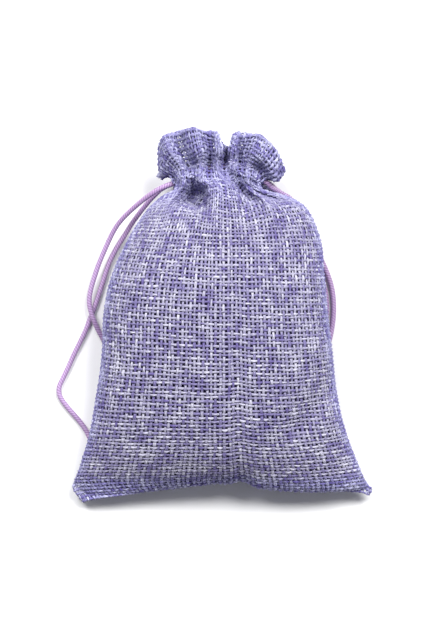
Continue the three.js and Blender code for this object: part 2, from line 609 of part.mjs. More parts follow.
// Overhand knot of both ends: a ridged barrel with the two cut tails behind it
function knot(name, { at, axis, lift }) {
  const ridge = knotDiameter / 2;
  const groove = ridge * 0.8;
  const end = cordRadius * 0.9;
  const half = knotLength / 2;
  const profile = [
    [0, -half], [end, -half], [groove, -half * 0.86], [ridge, -half * 0.5], [groove, -half * 0.12],
    [ridge, half * 0.24], [groove, half * 0.6], [ridge * 0.86, half * 0.82], [end, half], [0, half],
  ].map(([r, h]) => new THREE.Vector2(r, h));
  const barrel = mergeVertices(new THREE.LatheGeometry(profile, 14).deleteAttribute('uv').deleteAttribute('normal'));
  const direction = new THREE.Vector3(axis[0], axis[1], 0).normalize();
  const centre = place(at[0], at[1], 0);
  centre.z = lift + ridge;
  barrel.applyQuaternion(new THREE.Quaternion().setFromUnitVectors(new THREE.Vector3(0, 1, 0), direction));
  barrel.translate(centre.x, centre.y, centre.z);
  const sideways = new THREE.Vector3(-direction.y, direction.x, 0);
  let whole = solidOf(barrel);
  for (const spread of [-1, 1]) {
    const tail = [0.5, 1.1, 1.6, 2.1].map((s) => {
      const out = half * 0.5 + (s - 0.5) * tailLength / 1.6;
      const point = centre.clone().addScaledVector(direction, out);
      point.addScaledVector(sideways, spread * (0.55 + 0.75 * (s - 0.5)) * cordRadius * 1.2);
      point.z = Math.max(cordRadius + 0.05, centre.z - (s - 0.5) * 1.2);
      return point;
    });
    whole = whole.add(solidOf(tubeGeometry(tail, cordDiameter, 4, cordSides)));
  }
  const mesh = new THREE.Mesh(geometryOf(whole), material(colours.cord, 0.45));
  mesh.name = name;
  return mesh;
}

// Assembly
const sachet = new THREE.Group();
sachet.name = 'lavender_sachet';

const pouch = new THREE.Group();
pouch.name = 'pouch';
pouch.add(panel('front_panel', 1, colours.cloth));
pouch.add(panel('back_panel', -1, colours.clothBack));
pouch.add(filling());
pouch.add(sideSeam('left_seam', -1));
pouch.add(sideSeam('right_seam', 1));
pouch.add(bottomSeam());
pouch.add(stitchRow('front_stitch_low', 1, casingRow - stitching.offset));
pouch.add(stitchRow('front_stitch_high', 1, casingRow + stitching.offset));
pouch.add(stitchRow('back_stitch_low', -1, casingRow - stitching.offset));
pouch.add(stitchRow('back_stitch_high', -1, casingRow + stitching.offset));
sachet.add(pouch);

const leftCord = new THREE.Group();
leftCord.name = 'left_cord';
leftCord.add(neckLoop('left_neck_loop', -1));
leftCord.add(strand('left_strand_front', leftFrontRoute));
leftCord.add(strand('left_strand_back', leftBackRoute));
leftCord.add(knot('left_knot', leftKnot));
sachet.add(leftCord);

const rightCord = new THREE.Group();
rightCord.name = 'right_cord';
rightCord.add(neckLoop('right_neck_loop', 1));
rightCord.add(strand('right_strand_front', rightFrontRoute));
rightCord.add(strand('right_strand_back', rightBackRoute));
rightCord.add(knot('right_knot', rightKnot));
sachet.add(rightCord);

export default sachet;
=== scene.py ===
import math

import bpy
import numpy as np
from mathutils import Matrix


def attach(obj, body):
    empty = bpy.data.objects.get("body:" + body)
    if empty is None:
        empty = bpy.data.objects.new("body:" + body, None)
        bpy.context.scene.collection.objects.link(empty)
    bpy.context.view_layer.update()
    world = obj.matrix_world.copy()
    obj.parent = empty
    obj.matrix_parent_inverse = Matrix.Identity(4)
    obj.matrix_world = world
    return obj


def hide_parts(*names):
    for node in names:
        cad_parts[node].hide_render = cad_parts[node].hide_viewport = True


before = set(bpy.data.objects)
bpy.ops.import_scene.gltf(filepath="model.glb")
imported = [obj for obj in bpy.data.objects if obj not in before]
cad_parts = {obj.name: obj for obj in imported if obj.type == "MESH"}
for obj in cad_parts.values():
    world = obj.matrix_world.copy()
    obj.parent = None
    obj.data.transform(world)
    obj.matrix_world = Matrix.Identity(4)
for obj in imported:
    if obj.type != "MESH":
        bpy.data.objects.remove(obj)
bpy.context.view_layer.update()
scene = bpy.context.scene
mm = 0.001


# Camera: straight down on the pouch, so that the photo's up is +Y and its right is +X

photo = {
    "pixelsHigh": 631,
    "mmPerPixel": 0.335,  # on the seam plane of the pouch
    "middle": (-3.6, 0.0),  # mm, what the middle of the picture looks at
    "seamHeight": 13.0,
    "distance": 1500.0,
    "sensor": 36.0,
    "clip": (0.01, 20.0),  # m
}


def makeCamera():
    data = bpy.data.cameras.new("photoCamera")
    camera = bpy.data.objects.new("photoCamera", data)
    scene.collection.objects.link(camera)
    x, y = photo["middle"]
    camera.location = (x * mm, y * mm, (photo["seamHeight"] + photo["distance"]) * mm)
    data.sensor_width = photo["sensor"]
    data.lens = photo["sensor"] * photo["distance"] / (photo["pixelsHigh"] * photo["mmPerPixel"])
    data.clip_start, data.clip_end = photo["clip"]
    scene.camera = camera


makeCamera()


# Node helpers

def socketOf(sockets, name):
    # by place, or by name, where an enabled one comes first
    if isinstance(name, int):
        return sockets[name]
    named = [s for s in sockets if name in (s.name, s.identifier)]
    return next((s for s in named if s.enabled), named[0])


def addNode(tree, kind, feeds=None, **settings):
    made = tree.nodes.new(kind)
    for name, value in settings.items():
        setattr(made, name, value)
    for name, value in (feeds or {}).items():
        socket = socketOf(made.inputs, name)
        if isinstance(value, bpy.types.NodeSocket):
            tree.links.new(value, socket)
        else:
            socket.default_value = value
    return made


def out(made, name=0):
    return socketOf(made.outputs, name)


def maths(tree, operation, a, b=0.0, c=0.0):
    return out(addNode(tree, "ShaderNodeMath", {0: a, 1: b, 2: c}, operation=operation))


def times(tree, a, b):
    return maths(tree, "MULTIPLY", a, b)


def plus(tree, a, b):
    return maths(tree, "ADD", a, b)


def vector(tree, **parts):
    return out(addNode(tree, "ShaderNodeCombineXYZ", parts))


def newGroup(name, kind, inputs, outputs):
    group = bpy.data.node_groups.new(name, kind)
    for way, sockets in (("INPUT", inputs), ("OUTPUT", outputs)):
        for label, socket in sockets.items():
            group.interface.new_socket(label, in_out=way, socket_type="NodeSocket" + socket)
    return group, group.nodes.new("NodeGroupInput"), group.nodes.new("NodeGroupOutput")


def newTree(name, inputs):
    shape = {"Geometry": "Geometry"}
    return newGroup(name, "GeometryNodeTree", {**shape, **inputs, "Material": "Material"}, shape)


def namedValue(tree, name, kind="FLOAT"):
    return out(addNode(tree, "GeometryNodeInputNamedAttribute", {"Name": name}, data_type=kind))


def finishTree(tree, geometry, material, groupOut):
    whole = addNode(tree, "GeometryNodeRealizeInstances", {"Geometry": geometry})
    rounded = addNode(tree, "GeometryNodeSetShadeSmooth", {"Geometry": out(whole)})
    dressed = addNode(tree, "GeometryNodeSetMaterial", {"Geometry": out(rounded), "Material": material})
    tree.links.new(out(dressed), groupOut.inputs[0])


def grow(source, tree, values):
    # runs a tree on an object and keeps the result as the object's plain mesh
    modifier = source.modifiers.new(tree.name, "NODES")
    modifier.node_group = tree
    for item in tree.interface.items_tree:
        if item.in_out == "INPUT" and item.name in values:
            modifier[item.identifier] = values[item.name]
    depsgraph = bpy.context.evaluated_depsgraph_get()
    grown = source.evaluated_get(depsgraph)
    mesh = bpy.data.meshes.new_from_object(grown, preserve_all_data_layers=True, depsgraph=depsgraph)
    source.modifiers.remove(modifier)
    source.data = mesh
    mesh.name = source.name
    return source


def meshObject(name, points, edges=(), faces=()):
    mesh = bpy.data.meshes.new(name)
    mesh.from_pydata(points, edges, faces)
    made = bpy.data.objects.new(name, mesh)
    scene.collection.objects.link(made)
    return made


def pathsObject(name, paths):
    # polylines in one mesh, each a dictionary of equally long arrays
    points = np.concatenate([p["points"] for p in paths])
    ends = np.cumsum([len(p["points"]) for p in paths])
    first = np.arange(len(points) - 1)
    first = first[~np.isin(first, ends - 1)]
    made = meshObject(name, points.tolist(), np.stack([first, first + 1], axis=1).tolist())
    for label in paths[0]:
        if label == "points":
            continue
        values = np.concatenate([p[label] for p in paths]).astype(np.float32)
        kind, slot = ("FLOAT_VECTOR", "vector") if values.ndim == 2 else ("FLOAT", "value")
        made.data.attributes.new(label, kind, "POINT").data.foreach_set(slot, values.ravel())
    return made


def settle(piece, body, node):
    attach(piece, body)
    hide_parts(node)


# Curve helpers

def mix(a, b, s):
    return a + (b - a) * s


def smooth(s):
    s = np.clip(s, 0, 1)
    return s * s * (3 - 2 * s)


def bell(away, reach):
    return np.exp(-(away / reach) ** 2)


def unit(v):
    return v / np.maximum(np.linalg.norm(v, axis=-1, keepdims=True), 1e-12)


def through(stations, at):
    # smooth values through a list of stations
    stations = np.asarray(stations, float)
    last = len(stations) - 1
    k = np.minimum(last - 1, np.floor(at).astype(int))
    s = (at - k).reshape(-1, *[1] * (stations.ndim - 1))
    p0, p1, p2, p3 = (stations[np.clip(k + shift, 0, last)] for shift in (-1, 0, 1, 2))
    bend = 2 * p0 - 5 * p1 + 4 * p2 - p3
    twist = -p0 + 3 * p1 - 3 * p2 + p3
    return 0.5 * (2 * p1 + (p2 - p0) * s + bend * s * s + twist * s * s * s)


def runLength(points, axis=0):
    steps = np.linalg.norm(np.diff(points, axis=axis), axis=-1)
    start = np.zeros_like(np.take(steps, [0], axis=axis))
    return np.concatenate([start, np.cumsum(steps, axis=axis)], axis=axis)


def evenly(points, step):
    # the same line with points a step apart
    length = runLength(points)
    count = max(2, round(length[-1] / step) + 1)
    at = np.linspace(0, length[-1], count)
    return np.stack([np.interp(at, length, points[:, axis]) for axis in range(3)], axis=1)


# Shared shader effects

spinning = {"fibreRun": 2200.0, "acrossPly": 5.0, "roundYarn": 4.0}  # how fine the loose fibres are
dyeing = {"yarnApart": 5.37, "shares": {"Streak": 0.78, "Fleck": 0.22}}


def noise(tree, place, scale=1.0, detail=2.0):
    feeds = {"Vector": place, "Scale": scale, "Detail": detail}
    return out(addNode(tree, "ShaderNodeTexNoise", feeds), "Fac")


def shaderGroup(name, inputs, output):
    return newGroup(name, "ShaderNodeTree", dict.fromkeys(inputs, "Float"), {output: "Float"})


def fibreTwist():
    # spun plies that wind round a yarn or a cord, with loose fibres between them
    inputs = ("Along", "Around", "Pitch", "Plies", "Fibres")
    group, given, result = shaderGroup("fibreTwist", inputs, "Height")
    along, around = out(given, "Along"), out(given, "Around")
    turns = maths(group, "DIVIDE", along, out(given, "Pitch"))
    phase = plus(group, turns, times(group, around, out(given, "Plies")))
    ply = maths(group, "ABSOLUTE", maths(group, "SINE", times(group, phase, math.pi)))
    place = vector(
        group,
        X=times(group, along, spinning["fibreRun"]),
        Y=times(group, phase, spinning["acrossPly"]),
        Z=times(group, around, spinning["roundYarn"]))
    loose = times(group, noise(group, place), out(given, "Fibres"))
    group.links.new(plus(group, ply, loose), result.inputs["Height"])
    return group


def dyeStreaks():
    # how the dye took along each yarn: long streaks, and short flecks over them
    group, given, result = shaderGroup("dyeStreaks", ("Along", "Yarn", "Streak", "Fleck"), "Tone")
    apart = times(group, out(given, "Yarn"), dyeing["yarnApart"])
    parts = []
    for size, share in dyeing["shares"].items():
        place = vector(group, X=maths(group, "DIVIDE", out(given, "Along"), out(given, size)), Y=apart)
        parts.append(times(group, noise(group, place, detail=1.0), share))
    group.links.new(plus(group, *parts), result.inputs["Tone"])
    return group


twistGroup = fibreTwist()
streakGroup = dyeStreaks()


# Materials

def newMaterial(name, surface):
    material = bpy.data.materials.new(name)
    material.use_nodes = True
    tree = material.node_tree
    shader = next(n for n in tree.nodes if n.type == "BSDF_PRINCIPLED")
    for label, value in surface.items():
        shader.inputs[label].default_value = value
    return material, tree, shader


def yarnPlace(tree):
    # along in metres and around in turns, from the yarn's own map
    own = out(addNode(tree, "ShaderNodeUVMap", uv_map="yarnMap"))
    where = addNode(tree, "ShaderNodeSeparateXYZ", {0: own})
    return {"Along": out(where, "X"), "Around": out(where, "Y")}


def objectPlace(tree):
    return out(addNode(tree, "ShaderNodeTexCoord"), "Object")


def attribute(tree, name):
    return out(addNode(tree, "ShaderNodeAttribute", attribute_name=name), "Fac")


def twisted(tree, place, look):
    feeds = {**place, "Pitch": look["plyPitch"], "Plies": look["plies"], "Fibres": look["fibres"]}
    return out(addNode(tree, "ShaderNodeGroup", feeds, node_tree=twistGroup))


def ramp(tree, factor, stops):
    made = addNode(tree, "ShaderNodeValToRGB", {"Fac": factor})
    elements = made.color_ramp.elements
    for index, (at, colour) in enumerate(stops):
        element = elements[index] if index < 2 else elements.new(at)
        element.position = at
        element.color = (*colour, 1)
    return out(made, "Color")


def tinted(tree, colour, tint, factor=1.0):
    feeds = {"Factor_Float": factor, "A_Color": colour, "B_Color": tint}
    made = addNode(tree, "ShaderNodeMix", feeds, data_type="RGBA", blend_type="MULTIPLY")
    return out(made, "Result_Color")


def dressShader(tree, shader, colour, height, look):
    tree.links.new(colour, shader.inputs["Base Color"])
    relief = {"Height": height, "Strength": look["bump"], "Distance": look["bumpDepth"] * mm}
    tree.links.new(out(addNode(tree, "ShaderNodeBump", relief), "Normal"), shader.inputs["Normal"])


linenLook = {
    "surface": {"Roughness": 0.9, "Sheen Weight": 0.06, "Sheen Roughness": 0.5, "Specular IOR Level": 0.2},
    "streak": 0.0065,  # m, how long one shade lasts along a yarn
    "fleck": 0.0016,
    "shades": [(0.32, (0.125, 0.1, 0.27)), (0.45, (0.21, 0.19, 0.34)),
               (0.55, (0.345, 0.332, 0.447)), (0.68, (0.51, 0.5, 0.6))],
    "doubled": (1.0, 1.02, 1.2),  # tint where the cloth lies double, and painted shade: the same bluer, deeper tint along the side and bottom seams, where shade falls
    "plies": 3.0, "plyPitch": 0.0021, "fibres": 0.8,
    "paintedPlyShade": [(0.3, (0.7, 0.69, 0.74)), (1.0, (1.0, 1.0, 1.0))],  # painted shade between the plies: a darker tint in the grooves, none on the plies
    "bump": 0.7, "bumpDepth": 0.14,
}


def linenMaterial():
    material, tree, shader = newMaterial("lilacLinen", linenLook["surface"])
    place = yarnPlace(tree)
    feeds = {"Along": place["Along"], "Yarn": attribute(tree, "yarn"),
             "Streak": linenLook["streak"], "Fleck": linenLook["fleck"]}
    tone = out(addNode(tree, "ShaderNodeGroup", feeds, node_tree=streakGroup))
    dyed = ramp(tree, tone, linenLook["shades"])
    # the doubled tint, which also carries the painted shade along the seams
    dyed = tinted(tree, dyed, (*linenLook["doubled"], 1), attribute(tree, "doubled"))
    twist = twisted(tree, place, linenLook)
    # painted shade: the yarn is darker between its plies
    dyedWithPlyShade = tinted(tree, dyed, ramp(tree, twist, linenLook["paintedPlyShade"]))
    dressShader(tree, shader, dyedWithPlyShade, twist, linenLook)
    return material


cordLook = {
    "surface": {"Roughness": 0.42, "Sheen Weight": 0.3, "Sheen Roughness": 0.35, "Specular IOR Level": 0.5},
    # painted shade and highlight: darker in the grooves between the plies, lighter on their tops
    "shades": [(0.3, (0.2, 0.11, 0.25)), (0.9, (0.435, 0.29, 0.51))],
    "plies": 3.0, "plyPitch": 0.00092, "fibres": 0.25,
    "bump": 0.6, "bumpDepth": 0.14,
}


def cordMaterial():
    material, tree, shader = newMaterial("lilacSatinCord", cordLook["surface"])
    lay = twisted(tree, yarnPlace(tree), cordLook)
    # painted shade and highlight: the ply height also sets the colour, dark in the grooves and light on top
    dressShader(tree, shader, ramp(tree, lay, cordLook["shades"]), lay, cordLook)
    return material


threadLook = {
    "surface": {"Roughness": 0.7, "Specular IOR Level": 0.3},
    "shades": [(0.35, (0.36, 0.33, 0.52)), (0.65, (0.52, 0.49, 0.68))],
    "fibreScale": 2400.0,
    "bump": 0.4, "bumpDepth": 0.08,
}


def threadMaterial():
    material, tree, shader = newMaterial("seamThread", threadLook["surface"])
    fibres = noise(tree, objectPlace(tree), threadLook["fibreScale"])
    dressShader(tree, shader, ramp(tree, fibres, threadLook["shades"]), fibres, threadLook)
    return material


budLook = {
    "surface": {"Roughness": 0.95, "Specular IOR Level": 0.15},
    "shades": [(0.1, (0.085, 0.065, 0.2)), (0.75, (0.19, 0.15, 0.36)), (0.95, (0.12, 0.105, 0.1))],
    "toneShare": 0.7, "grainShare": 0.3, "grainScale": 900.0, "grainDetail": 3.0,
    "bump": 0.6, "bumpDepth": 0.3,
}


def budMaterial():
    material, tree, shader = newMaterial("driedBuds", budLook["surface"])
    grain = noise(tree, objectPlace(tree), budLook["grainScale"], budLook["grainDetail"])
    own = times(tree, attribute(tree, "budTone"), budLook["toneShare"])
    shade = plus(tree, own, times(tree, grain, budLook["grainShare"]))
    dressShader(tree, shader, ramp(tree, shade, budLook["shades"]), grain, budLook)
    return material


# A round or flattened section swept along polylines: yarns, cords and neck loops

sweeping = {
    "tip": 0.002,  # a line ends in a tip this thick
    "weld": 0.004,  # mm
    "stripUsed": 0.9, "stripFrom": 0.05,  # each line has its own strip of the bake map, with a margin
    "runUsed": 0.996, "runFrom": 0.002,
}


def sweepTree():
    tree, given, result = newTree("sweepSection", {
        "Width": "Float", "Flatness": "Float", "Sides": "Int", "Count": "Float"})
    line = addNode(tree, "GeometryNodeMeshToCurve", {"Mesh": out(given, "Geometry")})
    turned = addNode(tree, "GeometryNodeSetCurveNormal", {
        "Curve": out(line), "Normal": namedValue(tree, "up", "FLOAT_VECTOR")}, mode="FREE")
    ring = addNode(tree, "GeometryNodeCurveArc", {
        "Resolution": plus(tree, out(given, "Sides"), 1.0),
        "Radius": times(tree, out(given, "Width"), 0.5),
        "Start Angle": math.pi, "Sweep Angle": 2 * math.pi})
    squeeze = vector(tree, X=out(given, "Flatness"), Y=1.0, Z=1.0)
    section = addNode(tree, "GeometryNodeTransform", {"Geometry": out(ring), "Scale": squeeze})
    kept = addNode(tree, "GeometryNodeCaptureAttribute", {"Geometry": out(section)})
    kept.capture_items.new("FLOAT", "Around")
    tree.links.new(out(addNode(tree, "GeometryNodeSplineParameter"), "Factor"), kept.inputs["Around"])
    tube = addNode(tree, "GeometryNodeCurveToMesh", {
        "Curve": out(turned), "Profile Curve": out(kept, "Geometry"), "Scale": namedValue(tree, "thick")})
    around = out(kept, "Around")
    aside = maths(tree, "MULTIPLY_ADD", around, sweeping["stripUsed"], sweeping["stripFrom"])
    strip = plus(tree, namedValue(tree, "strip"), aside)
    run = maths(tree, "MULTIPLY_ADD", namedValue(tree, "part"), sweeping["runUsed"], sweeping["runFrom"])
    maps = {
        "yarnMap": vector(tree, X=namedValue(tree, "along"), Y=around),
        "OFBake": vector(tree, X=run, Y=maths(tree, "DIVIDE", strip, out(given, "Count"))),
    }
    geometry = out(tube)
    for name, value in maps.items():
        geometry = out(addNode(tree, "GeometryNodeStoreNamedAttribute", {
            "Geometry": geometry, "Name": name, "Value": value}, data_type="FLOAT2", domain="CORNER"))
    weld = {"Geometry": geometry, "Distance": sweeping["weld"] * mm}
    finishTree(tree, out(addNode(tree, "GeometryNodeMergeByDistance", weld)), out(given, "Material"), result)
    return tree


sweep = sweepTree()


def lineUp(points, up=(0.0, 0.0, 1.0)):
    # a direction square to the line at every point, as near to up as it goes
    tangent = unit(np.gradient(points, axis=0))
    up = np.broadcast_to(np.asarray(up, float), points.shape)
    return unit(up - tangent * np.sum(up * tangent, axis=1, keepdims=True))


def sweepPath(points, number=0, up=None, thick=None, lot=0, doubled=0.0):
    # points in mm; ends run to a tip so that the tube is closed; yarns of different lots are dyed differently
    length = runLength(points)
    thick = np.ones(len(points)) if thick is None else thick.copy()
    thick[[0, -1]] = sweeping["tip"]
    return {
        "points": points * mm,
        "up": lineUp(points) if up is None else up,
        "thick": thick,
        "along": length * mm,
        "part": length / length[-1],
        "yarn": np.full(len(points), float(number + lot)),
        "strip": np.full(len(points), float(number)),
        # where the doubled tint goes, with the painted shade along the seams
        "doubled": np.zeros(len(points)) + doubled,
    }


def sweepObject(name, paths, width, flatness, sides, material):
    return grow(pathsObject(name, paths), sweep, {
        "Width": width * mm, "Flatness": flatness, "Sides": sides, "Count": float(len(paths)),
        "Material": material})


# Drawcords: two strands leave each side slit and meet in a knot

cords = {
    "diameter": 1.7,
    "middle": (-0.4, -0.2),  # the pouch's own shift on the origin
    "sides": 14,
    "step": 0.7,
    "finer": 8,  # points between two points of a route
    "leftExit": (-16.6, 43.95), "rightExit": (14.6, 44.66),
    "frontLift": 15.95, "backLift": 10.45,
}

# x, y and height of the cord's underside over the table, in mm
routes = {
    "left_strand_front": [
        (-5.0, 47.8, 15.1), (-11.0, 45.84, 15.1), (-18.2, 43.49, 15.1), (-23.0, 40.9, 13.9),
        (-28.2, 37.0, 10.6), (-33.2, 32.3, 7.0), (-36.0, 28.3, 5.0), (-38.4, 23.3, 3.6), (-40.9, 17.4, 2.7),
        (-42.4, 13.0, 2.3), (-43.6, 8.8, 2.15), (-44.1, 5.0, 2.1), (-43.6, 1.7, 2.1), (-42.5, -1.5, 2.0),
        (-41.0, -4.9, 1.3), (-39.2, -8.4, 0.5), (-37.8, -12.6, 0.1), (-37.2, -18.0, 0.05),
        (-37.6, -24.0, 0.05), (-38.8, -30.5, 0.1), (-40.3, -36.4, 0.5), (-41.4, -39.6, 0.9),
        (-41.85, -40.85, 1.1),
    ],
    "left_strand_back": [
        (-5.0, 47.8, 9.6), (-11.0, 45.84, 9.6), (-18.2, 43.49, 9.6), (-22.0, 40.6, 8.6), (-25.6, 36.6, 6.0),
        (-29.4, 31.6, 3.4), (-32.0, 27.5, 1.9), (-34.7, 23.3, 1.0), (-37.2, 18.4, 0.45), (-38.9, 13.4, 0.15),
        (-40.5, 8.4, 0.05), (-42.2, 3.4, 0.05), (-43.8, -0.7, 0.05), (-45.3, -4.7, 0.05), (-47.2, -8.7, 0.05),
        (-49.2, -12.7, 0.05), (-51.0, -16.8, 0.05), (-52.9, -20.8, 0.05), (-54.3, -24.0, 0.05),
        (-54.0, -27.2, 0.05), (-51.4, -30.9, 0.05), (-48.0, -34.8, 0.05), (-45.6, -38.0, 0.3),
        (-44.2, -40.6, 0.9), (-43.4, -42.1, 1.1),
    ],
    "right_strand_front": [
        (6.0, 47.8, 15.1), (11.0, 46.17, 15.1), (15.4, 44.73, 15.1), (17.1, 43.1, 13.9), (19.0, 42.0, 11.6),
        (21.1, 40.95, 9.6), (23.4, 39.6, 7.8), (25.7, 37.5, 6.0), (27.9, 34.9, 4.2), (29.6, 31.5, 3.0),
        (31.0, 27.6, 2.1), (32.4, 23.8, 1.4), (34.0, 19.6, 0.7), (36.0, 15.0, 0.2), (37.4, 11.0, 0.05),
        (38.2, 6.8, 0.05), (38.4, 1.8, 0.05), (38.0, -3.0, 0.05), (37.1, -7.6, 0.05), (35.8, -12.0, 0.05),
        (34.9, -17.0, 0.05), (34.6, -24.0, 0.05), (35.6, -31.0, 0.1), (37.8, -37.0, 0.6), (39.2, -40.2, 1.0),
        (39.9, -41.55, 1.1),
    ],
    "right_strand_back": [
        (6.0, 47.8, 9.6), (11.0, 46.17, 9.6), (16.4, 44.41, 9.6), (18.4, 42.9, 7.8), (20.8, 41.0, 5.6),
        (22.9, 37.6, 3.8), (24.3, 33.8, 2.4), (26.2, 29.6, 1.2), (28.6, 25.0, 0.4), (31.3, 19.8, 0.1),
        (33.4, 15.2, 0.05), (34.9, 11.0, 0.05), (35.8, 6.8, 0.05), (36.1, 1.8, 0.05), (35.7, -3.2, 0.05),
        (34.8, -8.0, 0.05), (33.4, -12.6, 0.05), (32.5, -17.8, 0.05), (32.3, -24.5, 0.05), (33.3, -31.8, 0.1),
        (35.4, -38.0, 0.6), (37.2, -41.3, 1.0), (38.0, -42.65, 1.1),
    ],
}


def onTable(route):
    # route points to the cord's middle line, in mm
    points = np.array(route) + (*cords["middle"], cords["diameter"] / 2)
    count = cords["finer"] * (len(points) - 1) + 1
    return evenly(through(points, np.linspace(0, len(points) - 1, count)), cords["step"])


def cordPiece(name, paths, sides, body, material):
    made = sweepObject(name, paths, cords["diameter"], 1.0, sides, material)
    settle(made, body, name)
    return made


def makeStrand(name, body, material):
    points = onTable(routes[name])
    strand = cordPiece(name, [sweepPath(points)], cords["sides"], body, material)


# Knots: both ends of a cord wound round themselves, with the two cut tails behind

knots = {
    "left": {"at": (-40.95, -43.6), "axis": (0.62, -0.78)},
    "right": {"at": (40.25, -44.35), "axis": (0.5, -0.87)},
    "lift": 2.4,  # mm, middle of the knot over the table
    "length": 4.4,
    "wrapRadius": 1.2, "wraps": 2.5, "wrapPoints": 60,
    "tail": 6.0, "tailFrom": -0.45, "tailPoints": 24,
    "apart": 0.45, "spread": 2.25, "spreadPower": 1.4,  # mm, how the tails part
    "drop": 2.2, "dropRun": 6, "clear": 0.05,  # mm, how they come down to the table
    "step": 0.45,
    "sides": 12,
}


def knotPaths(at, axis):
    along = unit(np.array([*axis, 0.0]))
    across = np.array([-along[1], along[0], 0.0])
    up = np.array([0.0, 0.0, 1.0])
    centre = np.array([*np.add(at, cords["middle"]), knots["lift"]])
    turn = np.linspace(0, 2 * math.pi * knots["wraps"], knots["wrapPoints"])
    run = np.linspace(-0.5, 0.5, knots["wrapPoints"]) * (knots["length"] - cords["diameter"])
    ring = np.cos(turn)[:, None] * across + np.sin(turn)[:, None] * up
    paths = [centre + run[:, None] * along + knots["wrapRadius"] * ring]
    low = cords["diameter"] / 2 + knots["clear"]
    first, last = knots["tailFrom"] * knots["length"], knots["length"] / 2 + knots["tail"]
    reach = np.linspace(first, last, knots["tailPoints"])
    parted = np.clip(reach / (knots["length"] + knots["tail"]), 0, 1) ** knots["spreadPower"]
    for side in (-1, 1):
        aside = side * (knots["apart"] + knots["spread"] * parted)
        tail = centre + reach[:, None] * along + aside[:, None] * across
        tail[:, 2] = np.maximum(low, centre[2] - knots["drop"] * smooth(reach / knots["dropRun"]))
        paths.append(tail)
    return [sweepPath(evenly(p, knots["step"]), number) for number, p in enumerate(paths)]


# Neck loops: each cord goes round inside the casing, changing places with the other one

casing = {
    "midX": 0.5, "straightFrom": 5.5, "straightY": 48.9, "slope": 0.326, "crownY": 49.8, "height": 2.75,
    "lane": 1.1,  # mm, half the distance of the two cords beside each other
    "crossing": 2.1, "swapRun": 11.0,
    "start": {-1: -5.0, 1: 6.0}, "turn": {-1: 11.3, 1: -12.5},  # of the left and of the right cord
    "overlap": 0.3,  # mm that a loop reaches into its strands
    "runPoints": 28, "bendPoints": 14, "bendReach": 0.95,
    "neckZ": 13.2,
}


def tunnelY(x):
    outside = np.abs(x - casing["midX"]) - casing["straightFrom"]
    s = np.clip(-outside / casing["straightFrom"], 0, 1)
    arch = casing["slope"] * casing["straightFrom"] * s * (1 - s) ** 2
    crown = arch + (casing["crownY"] - casing["straightY"]) * smooth(s)
    return casing["straightY"] + np.where(outside >= 0, -casing["slope"] * outside, crown)


def neckLoopLine(ownSide):
    start, turn = casing["start"][ownSide], casing["turn"][ownSide]
    x = np.linspace(start - ownSide * casing["overlap"], turn, casing["runPoints"])
    gone = np.clip(np.abs(x - start) / casing["swapRun"], 0, 1)
    sideways = mix(-casing["lane"], casing["lane"], smooth(gone))
    height = casing["height"] + ownSide * np.sin(math.pi * gone) ** 2 * casing["crossing"] / 2
    bend = np.linspace(0, math.pi, casing["bendPoints"])[1:-1]
    turnX = turn - ownSide * casing["height"] * np.sin(bend) * casing["bendReach"]
    lineX = np.concatenate([x, turnX, x[::-1]])
    lineY = tunnelY(lineX) + np.concatenate([sideways, np.full(len(bend), casing["lane"]), sideways[::-1]])
    lineZ = casing["neckZ"] + np.concatenate([height, casing["height"] * np.cos(bend), -height[::-1]])
    return np.stack([lineX, lineY, lineZ], axis=1) + (*cords["middle"], 0)


def makeNeckLoop(name, ownSide, material):
    points = evenly(neckLoopLine(ownSide), cords["step"])
    path = sweepPath(points, up=lineUp(points, (0.0, 1.0, 0.0)))
    cordPiece(name, [path], cords["sides"], "pouch", material)


def makeCords():
    material = cordMaterial()
    for side, own in (("left", -1), ("right", 1)):
        body = side + "_tail"
        knot = cordPiece(side + "_knot", knotPaths(**knots[side]), knots["sides"], body, material)
        for layer in ("front", "back"):
            makeStrand(f"{side}_strand_{layer}", body, material)
        makeNeckLoop(side + "_neck_loop", own, material)
    print("cords made")


makeCords()


# Pouch form, in mm: rows of the filled body from the bottom seam to the shoulder, then the gathers

bodyColumns = ("left", "right", "seamZ", "midY", "topZ", "underZ", "turn", "pleat")
bodyTable = [
    ((-44.7, -62.2), (48.9, -59.6), 3.0, -57.2, 9.0, 9.0, 1, 0),
    ((-49.2, -55.8), (50.2, -57.0), 4.6, -55.3, 14.2, 4.6, 0.9, 0),
    ((-47.6, -49.5), (47.6, -50.4), 7.4, -51.6, 20.0, 1.6, 0.65, 0),
    ((-44.6, -40.0), (43.2, -40.0), 10.8, -44.2, 26.6, -0.6, 0.45, 0),
    ((-42.2, -28.0), (40.0, -28.0), 12.4, -32.6, 32.6, -2.6, 0.25, 0),
    ((-40.0, -13.5), (38.1, -13.5), 13.5, -17.4, 36.6, -4.0, 0.1, 0),
    ((-39.3, 1.0), (36.4, 1.0), 14.0, -2.2, 37.6, -4.0, 0, 0),
    ((-36.7, 13.5), (35.3, 14.0), 14.0, 11.8, 36.2, -4.0, 0, 0),
    ((-31.2, 26.0), (33.9, 26.2), 13.7, 25.2, 32.0, -2.4, 0, 0.12),
    ((-24.8, 35.8), (28.8, 36.9), 13.4, 36.4, 26.4, 1.6, 0, 0.52),
]
bodyRows = [dict(zip(bodyColumns, row)) for row in bodyTable]

